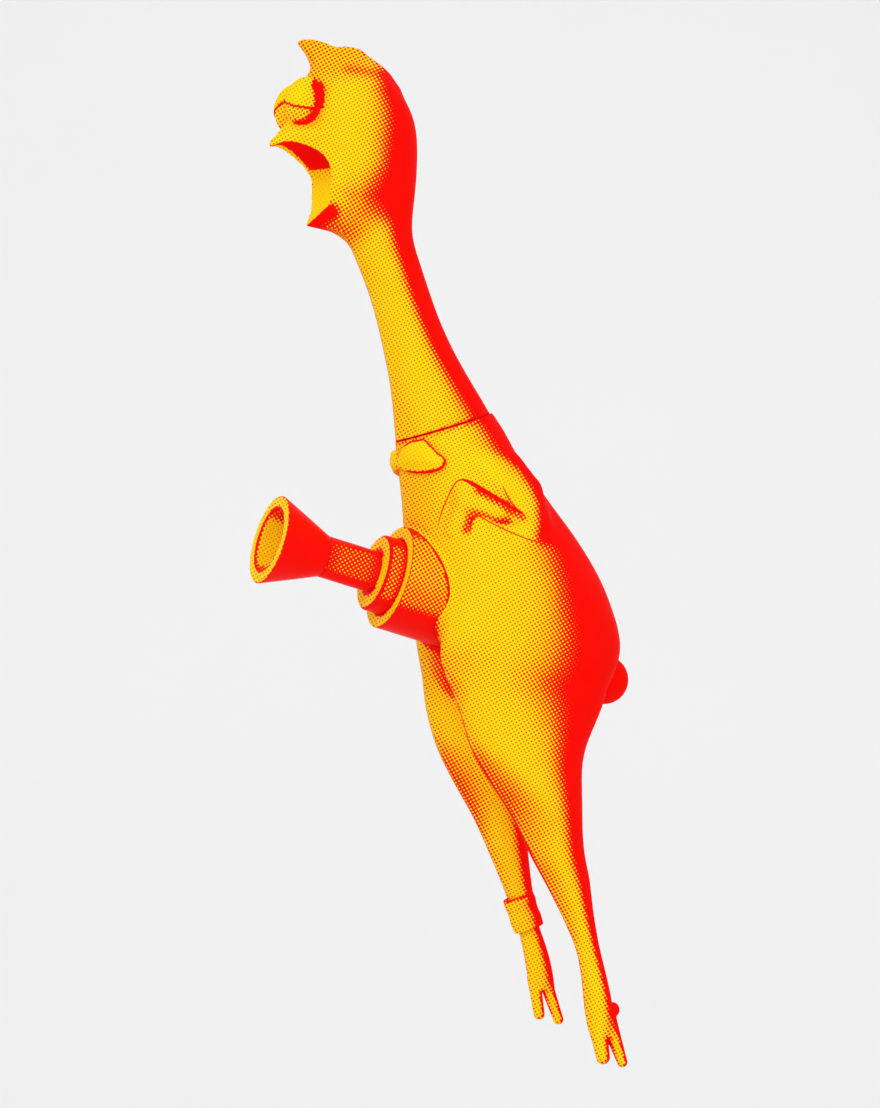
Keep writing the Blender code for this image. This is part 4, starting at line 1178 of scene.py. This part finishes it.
print("skins", flush=True)
lo, hi = box_of((-97, 40), (-47, 47), (-163, 16))
torso = solid("skin_torso", torso_shell_field, lo, hi, 1.0 * Q)
prune(torso, None, [
    (tuple(NECK_AXIS * -SEAM_GAP), NA, everywhere, beyond(NECK_AXIS * -SEAM_GAP, NA)),
    ((0, 0, CUT_R), (0, 0, -1), lambda c: c.y < -0.8 and c.z < -120, lambda c: c.y < -0.8 and c.z < CUT_R - 1e-4),
    ((0, 0, CUT_L), (0, 0, -1), lambda c: c.z < -150, lambda c: c.z < CUT_L - 1e-4),
])
drop_islands(torso)
hole = turned("hole", BOSS, PULLEY_AXIS, [(0, -36.4), (24.8, -36.4), (24.8, 45.0), (0, 45.0)], n=180)
boolean(torso, hole)
drop_islands(torso)
torso.name = "skin_torso"
co, n = coat(torso, torso_tone, field_normals(body_field))
ink(torso, co, n, WING_LINES, [(SEAM, 0.62)])
set_normals(torso, body_field)
finish_piece(torso, RUBBER, "torso", ["torso_shell"], "skin_rubber")


def leg_l_whole(x, y, z):
    return smin(torso_field(x, y, z), leg_l_field(x, y, z), 9.0)


def leg_r_whole(x, y, z):
    return smin(torso_field(x, y, z), leg_r_field(x, y, z), 9.0)


leg_l = solid("skin_leg_left", leg_l_whole, (-97, -1, -303), (5, 47, -148), 0.85 * Q)
prune(leg_l, None, [((0, 0, CUT_L), (0, 0, 1), everywhere, lambda c: c.z > CUT_L + 1e-4)])
co, n = coat(leg_l, leg_tone, field_normals(leg_l_whole))
ink(leg_l, co, n)
set_normals(leg_l, leg_l_whole)
finish_piece(leg_l, RUBBER, None, ["leg_left_shell"], "skin_rubber")
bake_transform(leg_l)

MID_SLEEVE = SLEEVE_TOP + SHANK_AXIS * 8.0
leg_r = solid("skin_leg_right", leg_r_whole, (-75, -47, -232), (5, -0.9, -128), 0.85 * Q)
prune(leg_r, None, [
    ((0, 0, CUT_R), (0, 0, 1), everywhere, lambda c: c.z > CUT_R + 1e-4),
    (tuple(MID_SLEEVE), tuple(SHANK_AXIS), everywhere, beyond(MID_SLEEVE, SHANK_AXIS))])
co, n = coat(leg_r, leg_tone, field_normals(leg_r_whole))
ink(leg_r, co, n)
set_normals(leg_r, leg_r_whole)
finish_piece(leg_r, RUBBER, None, ["leg_right_shell"], "skin_rubber")
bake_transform(leg_r)

foot = solid("skin_foot_right", foot_r_field, (-75, -31, -281), (-40, -11, -220), 0.5 * Q)
TOP_FOOT = SLEEVE_TOP + SHANK_AXIS * 8.5
prune(foot, None, [(tuple(TOP_FOOT), tuple(-SHANK_AXIS), everywhere, beyond(TOP_FOOT, -SHANK_AXIS))])
co, n = coat(foot, leg_tone, field_normals(foot_r_field))
ink(foot, co, n)
set_normals(foot, foot_r_field)
finish_piece(foot, RUBBER, "foot_right", ["foot_right"], "skin_rubber")

print("sleeve", flush=True)
SL = 16.6
prof = rounded([(5.95, 0.0, 0.9), (7.3, 0.0, 1.0), (7.75, 3.2, 1.5), (7.1, 7.4, 1.6), (7.6, 11.8, 1.6), (7.2, SL, 1.1),
                (5.95, SL, 0.5)], steps=5)


def dense(profile, step=0.8):
    out = []
    m = len(profile)
    for i in range(m):
        a, b = np.array(profile[i], float), np.array(profile[(i + 1) % m], float)
        if a[0] <= 1e-9 and b[0] <= 1e-9:
            out.append(tuple(a))
            continue
        k = max(1, int(np.linalg.norm(b - a) / step))
        for t in range(k):
            out.append(tuple(a + (b - a) * t / k))
    return out


def sleeve_tone(p, n):
    s = (p - SLEEVE_TOP) @ SHANK_AXIS
    t = np.clip(painted_skin_shade(p, n, crease_shade=0.1, underside_shade=0.2), 0.2, 1.2)
    ring = np.exp(-((s - 0.3) / 0.5) ** 2)
    ang = np.arctan2(p[:, 1] - SLEEVE_TOP[1], p[:, 0] - SLEEVE_TOP[0] + (s * 0.35))
    rough = 0.35 * np.clip(np.sin(ang * 17.0 + s * 1.7) * np.sin(ang * 9.0 - s * 2.3), 0, 1)
    return np.clip(t + 0.75 * ring + rough * 0.5, 0, 1.1)


cuff = turned("cuff", SLEEVE_TOP, SHANK_AXIS, dense(prof, 0.6), n=120)
co, n = coat(cuff, sleeve_tone)
ink(cuff, co, n)
finish_piece(cuff, RUBBER, "leg_right", ["ankle_sleeve"], "skin_rubber")

# ------------------------------------------------------------------ neck and head
print("head", flush=True)


def on_solid(p):
    return value(head_solid, p)


def head_tone(p, n):
    # painted shade on the head and neck, capped on the cheek
    t = painted_skin_shade(p, n, crease_shade=0.5, underside_shade=0.4)
    x, z = p[:, 0], p[:, 2]
    crown = np.clip((z - 156.0) / 8.0, 0, 1)
    shift = np.interp(z, SHADE_SHIFT[:, 0], SHADE_SHIFT[:, 1])
    t = np.where(crown > 0, np.clip(t, 0, 1.2) * (1 - crown)
                 + crown * np.maximum(0.44, np.interp(n[:, 0] - shift, SHADE_RAMP[:, 0], SHADE_RAMP[:, 1])), t)
    hs = on_solid(p)
    inside = (hs < -0.35) & (z > 90) & (x > 52)
    u, v = face_uv(x, p[:, 1], z)
    cheek = step(x, 50.0, 60.0) * step(z, 106.0, 114.0) * (1 - step(z, 150.0, 156.0))
    t = t * (1 - cheek) + cheek * np.minimum(t, 0.28)
    # painted shade: a soft streak where the comb meets the head
    a, b = px(350.0, 72.5), px(383.0, 78.0)
    ex, ey = b[0] - a[0], b[1] - a[1]
    k = np.clip(((u - a[0]) * ex + (v - a[1]) * ey) / (ex * ex + ey * ey), 0, 1)
    t = t + 0.15 * np.exp(-(np.hypot(u - a[0] - ex * k, v - a[1] - ey * k) / 2.8) ** 2)
    # painted shadow under the jaw
    a, b = px(309.0, 226.5), px(332.0, 215.0)
    ex, ey = b[0] - a[0], b[1] - a[1]
    k = np.clip(((u - a[0]) * ex + (v - a[1]) * ey) / (ex * ex + ey * ey), 0, 1)
    d = np.hypot(u - a[0] - ex * k, v - a[1] - ey * k)
    t = t + 1.0 * np.exp(-(d / 3.2) ** 2) * (z < 112) * (x > 44) * ~inside
    t = np.maximum(t, 0.9 * rim(n, p, 0.5))
    # painted shade inside the gape: solid under the upper bill, lighter lower down
    mouth = np.where(z > 119.6, 1.15, 0.10 + 0.25 * np.clip((z - 114.0) / 6.0, 0, 1))
    mouth = np.where((hs > -1.7) & (p[:, 1] < -1.0) & (z > 112), 0.22, mouth)
    t = np.where(inside, mouth, t)
    # eyelids
    side = np.where(p[:, 1] >= 0, 1.0, -1.0)
    lid = np.full(len(p), 9.0)
    for k, s in enumerate((1, -1)):
        lid = np.minimum(lid, np.where(side == s, np.abs(value(LIDS[k], p)), 9.0))
    head = z > 95
    onlid = (lid < 0.35) & (value(lid_plane, p) < 0.8) & head
    t = np.where(onlid, eye_shade(p) * 0.95, t)
    edge = np.abs(value(lid_plane, p)) < 0.5
    near_eye = (lid < 1.2) & head
    t = np.where(edge & near_eye, np.maximum(t, 0.95), t)
    return np.clip(t, -0.1, 1.2)


def eye_shade(p):
    q = p.copy()
    side = np.where(p[:, 1] >= 0, 1.0, -1.0)
    u, v = view_uv(p[:, 0], p[:, 1] * side, p[:, 2])
    uc, vc = view_uv(EYE[0], EYE[1], EYE[2])
    a, b = (u - uc) / 9.2, (v - vc) / 12.4
    ct, st = math.cos(0.25), math.sin(0.25)
    a, b = a * ct - b * st, b * ct + a * st
    k = np.hypot(a + 0.30, b - 0.06)
    f = np.clip((k - 0.68) / 0.28, 0, 1) * step(a + 0.12 - 0.35 * b, -0.12, 0.16)
    return 0.20 + 0.16 * np.clip(a + 0.3, 0, 1) + 1.1 * f * f * (3 - 2 * f)


def eyeball_tone(p, n):
    t = eye_shade(p) + 0.14
    edge = np.abs(value(lid_plane, p) - 0.35) < 0.45
    return np.clip(np.where(edge, 1.05, t), 0, 1.15)


head = solid("skin_neck_head", head_field, (-36, -29, -16), (93, 29, 184), 0.62 * Q)
prune(head, None, [(tuple(NECK_AXIS * SEAM_GAP), tuple(-NECK_AXIS), everywhere, beyond(NECK_AXIS * SEAM_GAP, -NECK_AXIS))])
drop_islands(head)
co, n = coat(head, head_tone, field_normals(head_field))
HEAD_LINES = [[px(287.6, 118.3, .15), px(281.5, 128.5, .34), px(275.5, 138.2, .34), px(271.2, 145.2, .34)]]
ink(head, co, n, HEAD_LINES, [(SEAM, 0.62)], faces=-0.2)
set_normals(head, head_field)
finish_piece(head, RUBBER, None, ["neck_shell", "head_shell"], "skin_rubber")
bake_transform(head)

for k, s in enumerate((1, -1)):
    c = np.array([EYE[0], EYE[1] * s, EYE[2]])
    f = EYES[k]
    ball = solid("eye_" + ("left", "right")[k] + "_ball", f, c - 14.0, c + 14.0, 0.6 * Q)
    prune(ball, None, [((0, 0.12 * s, 0), (0, -s, 0), everywhere, beyond((0, 0.12 * s, 0), (0, -s, 0)))])
    co, n = coat(ball, eyeball_tone, field_normals(f))
    ink(ball, co, n)
    set_normals(ball, f)
    finish_piece(ball, PLASTIC, "head", ["eye_" + ("left", "right")[k]], "eye_plastic")

plug = turned("neck_plug", (0, 0, 0), NECK_AXIS,
              rounded([(14.0, 0.15), (17.6, 0.15), (17.6, -7.9), (20.4, -8.6, 0.8), (18.6, -10.8), (14.0, -10.8)]), n=128)
co, n = coat(plug, lambda p, n: np.full(len(p), 0.15))
ink(plug, co, n)
finish_piece(plug, RUBBER, "neck", [], "skin_rubber")

# ------------------------------------------------------------------ bow tie
print("tie", flush=True)


def tie_tone(p, n):
    # painted shade on faces that point down; side_on is the painted outline round each lobe
    t = 0.16 + 0.5 * np.clip(-n[:, 2] - 0.2, 0, 1)
    q = p.copy()
    q[:, 1] = np.abs(q[:, 1])
    u, v = view_uv(q[:, 0], q[:, 1], q[:, 2])
    e = lobe_outline(u.astype(np.float32), v.astype(np.float32))
    m = n.copy()
    m[:, 1] = np.abs(m[:, 1])
    thick = 1.1 + 0.8 * step(u * 0.05 - (v + 13.0) * 0.12, 0.0, 0.8)
    side_on = np.clip((e + thick) / 0.5, 0, 1) * (0.45 + 0.55 * step(np.abs(p[:, 1]), 5.0, 10.0))
    t = np.maximum(t, side_on * 1.1)
    return np.clip(t, 0, 1.15)


tie = solid("bow_tie_rubber", tie_field, (-20, -31, -30), (36, 31, 3), 0.45 * Q, rounds=2)
drop_islands(tie)
co, n = coat(tie, tie_tone, field_normals(tie_field))
ink(tie, co, n)
set_normals(tie, tie_field)
finish_piece(tie, RUBBER, "torso", ["bow_tie"], "skin_rubber")

# ------------------------------------------------------------------ pulley
print("pulley", flush=True)
PU = np.cross(np.array([0.0, 1.0, 0.0]), PULLEY_AXIS) * -1.0
if PU[2] < 0:
    PU = -PU


def pulley_parts(p, n):
    q = p - BOSS
    s = q @ PULLEY_AXIS
    e = q - s[:, None] * PULLEY_AXIS
    r = np.linalg.norm(e, axis=1)
    nr = ((n * e).sum(1)) / np.maximum(r, 1e-6)
    return s, r, nr, n @ PULLEY_AXIS, (e @ PU) / np.maximum(r, 1e-6)


def boss_tone(p, n):
    s, r, nr, ns, up = pulley_parts(p, n)
    # Painted shade: the side red at the bottom and in a wedge at the top near the face, dots at the face's top and
    # bottom, and the bore's inner wall red; the edge and junction rings are painted lines.
    side = 0.50 + 0.70 * step(-up, 0.48, 0.80) + 0.5 * step(up, 0.72, 0.9) * step(s, -16, -2) + 0.10 * step(-up, -0.1, .5)
    face = 0.12 + 0.13 * step(np.abs(up), 0.4, 0.9)
    t = np.where(ns > 0.7, face, side)
    t = np.where(nr < -0.5, 0.8, t)
    t = np.where((ns > 0.2) & (ns < 0.9) & (r > 20), 1.1, t)
    t = np.where((np.abs(r - 18.5) < 0.4) & (s > -0.4), 1.1, t)
    skin = value(torso_loft, p)
    t = np.where((skin < 2.3) & (nr > .7), 1.15, t)
    return np.clip(t, 0, 1.15)


boss = turned("boss", BOSS, PULLEY_AXIS, dense(rounded([
    (24.5, -36.0), (24.5, 0.0, 0.45), (18.42, 0.0, 0.25), (18.42, -3.0), (18.7, -3.4), (18.7, -30.0), (8.0, -30.0), (8.0, -7.6), (4.3, -7.6),
    (4.3, -36.0)]), 0.9), n=200)
co, n = coat(boss, boss_tone)
ink(boss, co, n)
finish_piece(boss, PLASTIC, "torso", ["boss_housing"], "pulley_plastic")


def collar_tone(p, n):
    s, r, nr, ns, up = pulley_parts(p, n)
    # Painted shade: the side red at top and bottom and towards the boss, the face darker at top and bottom next to the
    # drum; the chamfer ring is a painted line.
    side = 0.64 + 0.5 * step(np.abs(up), 0.60, 0.85) + 0.30 * step(-s, -3.5, 0.5)
    face = 0.17 + 0.12 * step(np.abs(up), 0.3, 0.9) + 0.9 * step(-r, -12.6, -10.2) * step(np.abs(up), 0.55, 0.85)
    t = np.where(ns > 0.7, face, side)
    t = np.where((ns > 0.2) & (ns < 0.92) & (r > 16), 1.05, t)
    t = np.where(r < 9.5, 0.3, t)
    return np.clip(t, 0, 1.15)


collar = turned("pulley_collar", BOSS, PULLEY_AXIS, dense(rounded([
    (18.2, -4.0), (18.2, 7.3, 0.3), (17.0, 8.5, 0.3), (6.3, 8.5), (6.3, -4.0)]), 0.7), n=180)
co, n = coat(collar, collar_tone)
ink(collar, co, n)
finish_piece(collar, PLASTIC, "pulley", ["inner_flange"], "pulley_plastic")


def drum_tone(p, n):
    s, r, nr, ns, up = pulley_parts(p, n)
    # Painted shade: dotted red, solid at top and bottom and darker towards the collar and the cone.
    t = 0.73 + 0.55 * step(np.abs(up), 0.60, 0.86) + 0.22 * step(-s, -16.0, -9.0) + 0.12 * step(s, 28, 34)
    return np.clip(np.where(nr < 0, 0.3, t), 0, 1.15)


drum = turned("pulley_drum", BOSS, PULLEY_AXIS, dense([(9.8, 8.8), (9.8, 34.6), (6.3, 34.6), (6.3, 8.8)], 0.8), n=160)
co, n = coat(drum, drum_tone)
ink(drum, co, n)
finish_piece(drum, PLASTIC, "pulley", ["drum"], "pulley_plastic")


def cone_tone(p, n):
    s, r, nr, ns, up = pulley_parts(p, n)
    # Painted shade: the outer side solid red and the funnel's inside darker at top and bottom; the rim rings are
    # painted lines.
    face = 0.16 + 0.10 * step(np.abs(up), 0.5, 0.95)
    funnel = 0.24 + 0.6 * step(np.abs(up), 0.68, 0.95)
    t = np.where(ns > 0.8, face, 1.15)
    inner = (nr < -0.2) | ((ns > 0.3) & (r < 15.0))
    t = np.where(inner, funnel, t)
    t = np.where((np.abs(r - 15.4) < 0.35) & (s > 61.3), 1.0, t)
    t = np.where((r > 20.75) & (s > 62.0), 0.8, t)
    return np.clip(t, 0, 1.15)


flare = turned("pulley_cone", BOSS, PULLEY_AXIS, dense(rounded([
    (9.8, 34.8, 0.2), (15.8, 48.9, 3.0), (21.15, 61.9, 0.3), (20.9, 62.5, 0.25), (15.4, 62.5, 0.3), (14.6, 60.6, 0.3),
    (9.4, 42.2, 0.6), (4.4, 42.0, 0.2), (6.2, 41.4, .2), (6.3, 34.8, 0.2)]), 0.8), n=200)
co, n = coat(flare, cone_tone)
ink(flare, co, n)
finish_piece(flare, PLASTIC, "pulley", ["cone_flange"], "pulley_plastic")

axle = turned("axle_pin", BOSS, PULLEY_AXIS, dense(rounded([
    (0, -43.4), (4.0, -43.4, 0.5), (4.0, 45.4, 0.1), (6.9, 45.6, 0.6), (6.6, 47.6, 0.8), (4.6, 49.0, 0.8), (2.5, 49.1, 0.2),
    (2.5, 46.9, 0.1), (0, 46.7)]), 1.2), n=96)
co, n = coat(axle, lambda p, n: np.zeros(len(p)))
finish_piece(axle, STEEL, "torso", ["axle"], "steel")

for name, body, prof, mat, slot in (
        ("bush_front", "pulley", [(4.3, 22.6), (6.0, 22.6), (6.0, 42.3, .1), (8.4, 42.3), (8.4, 44.0), (4.3, 44.0)], BRASS, "brass"),
        ("bush_rear", "pulley", [(4.3, 22.2), (6.0, 22.2), (6.0, -4.3, .1), (8.4, -4.3), (8.4, -6.0), (4.3, -6.0)], BRASS, "brass"),
        ("washer_rear", "torso", [(4.3, -7.3, .1), (7.6, -7.3, .2), (7.6, -6.3, .2), (4.3, -6.3, .1)], STEEL, "steel"),
        ("washer_front", "torso", [(4.3, 44.3, .1), (7.6, 44.3, .2), (7.6, 45.3, .2), (4.3, 45.3, .1)], STEEL, "steel")):
    node = {"bush_front": "front_bush", "bush_rear": "rear_bush", "washer_rear": "axle_washer",
            "washer_front": "thrust_washer"}[name]
    b = frame["nodes"][node].parent
    ob = turned(name, BOSS, PULLEY_AXIS, dense(rounded(prof), 1.0), n=96)
    ob.data.polygons.foreach_set("use_smooth", np.ones(len(ob.data.polygons), bool))
    finish_piece(ob, mat, b.name[5:] if b.name.startswith("body:") else b.name, [node], slot)

for node, mat, slot in (("clamp_ring", STEEL, "steel"), ("axle_nut", STEEL, "steel"), ("clamp_screw_1", STEEL, "steel"),
                        ("clamp_screw_2", STEEL, "steel"), ("clamp_screw_3", STEEL, "steel"),
                        ("clamp_screw_4", STEEL, "steel")):
    ob = frame["nodes"][node]
    ob.data.materials.clear()
    ob.data.materials.append(mat)

# ------------------------------------------------------------------ floor, light, camera
FLOOR = -0.95


def sweep():
    verts, faces = [], []
    prof = [(-6.5, 0.0), (-1.5, 0.0)]
    for a in np.linspace(0, math.pi / 2, 14):
        prof.append((4.4 + 1.1 * math.sin(a), 1.1 * (1 - math.cos(a))))
    prof.append((5.5, 7.0))
    back = np.array([-math.sin(TURN), -math.cos(TURN)])
    side = np.array([math.cos(TURN), -math.sin(TURN)])
    for d, h in prof:
        for w in (-8.0, 8.0):
            xy = back * d + side * w
            verts.append((xy[0], xy[1], FLOOR + h))
    for i in range(len(prof) - 1):
        faces.append((2 * i, 2 * i + 1, 2 * i + 3, 2 * i + 2))
    me = bpy.data.meshes.new("floor")
    me.from_pydata(verts, [], faces)
    me.polygons.foreach_set("use_smooth", np.ones(len(me.polygons), bool))
    ob = bpy.data.objects.new("floor", me)
    bpy.context.scene.collection.objects.link(ob)
    k = Net("floor_paper")
    tc = k.t.nodes.new("ShaderNodeTexCoord")
    nz = k.noise(tc.outputs["Object"], 3.0, 3.0)
    k.put(k.bsdf.inputs["Base Color"], k.mix(nz, (0.88, 0.88, 0.885, 1), (0.91, 0.91, 0.912, 1)))
    k.bsdf.inputs["Roughness"].default_value = 0.9
    me.materials.append(k.mat)
    return ob


sweep()
TARGET = (-2.1 * AX_R - 59.7 * AX_U) * MM
CAM_AT = TARGET + AX_D * 3.0


def aim(ob, at, to):
    d = Vector(to) - Vector(at)
    ob.location = at
    ob.rotation_euler = d.to_track_quat('-Z', 'Y').to_euler()


cam_data = bpy.data.cameras.new("camera")
cam_data.sensor_width = 36.0
cam_data.lens = 3000.0 / (1108 * 0.47) * 36.0
cam_data.clip_end = 50.0
cam = bpy.data.objects.new("camera", cam_data)
bpy.context.scene.collection.objects.link(cam)
aim(cam, CAM_AT, TARGET)
bpy.context.scene.camera = cam


def area(name, at, size, power, color=(1, 1, 1)):
    li = bpy.data.lights.new(name, 'AREA')
    li.shape = 'DISK'
    li.size = size
    li.energy = power
    li.color = color
    ob = bpy.data.objects.new(name, li)
    bpy.context.scene.collection.objects.link(ob)
    aim(ob, at, (0.0, 0.0, -0.06))
    return ob


left, fwd, upv = -AX_R, AX_D, AX_U
area("key", tuple(left * 1.1 + fwd * 2.0 + np.array([0, 0, 1.6])), 1.6, 23)
area("fill", tuple(-left * 1.8 + fwd * 1.7 + np.array([0, 0, 0.5])), 2.2, 13)
wall = area("wall", tuple(-fwd * 2.2 + np.array([0, 0, 0.3])), 2.4, 19)
aim(wall, tuple(-fwd * 2.2 + np.array([0, 0, 0.3])), tuple(-fwd * 6.0 + np.array([0, 0, 0.4])))
area("back", tuple(-left * 0.4 - fwd * 1.4 + np.array([0, 0, 1.9])), 1.2, 6)

world = bpy.data.worlds.new("world")
bpy.context.scene.world = world
world.use_nodes = True
bg = world.node_tree.nodes["Background"]
bg.inputs[0].default_value = (1.0, 1.0, 1.0, 1.0)
bg.inputs[1].default_value = 0.76
bpy.context.scene.view_settings.view_transform = 'Standard'
bpy.context.scene.view_settings.look = 'None'
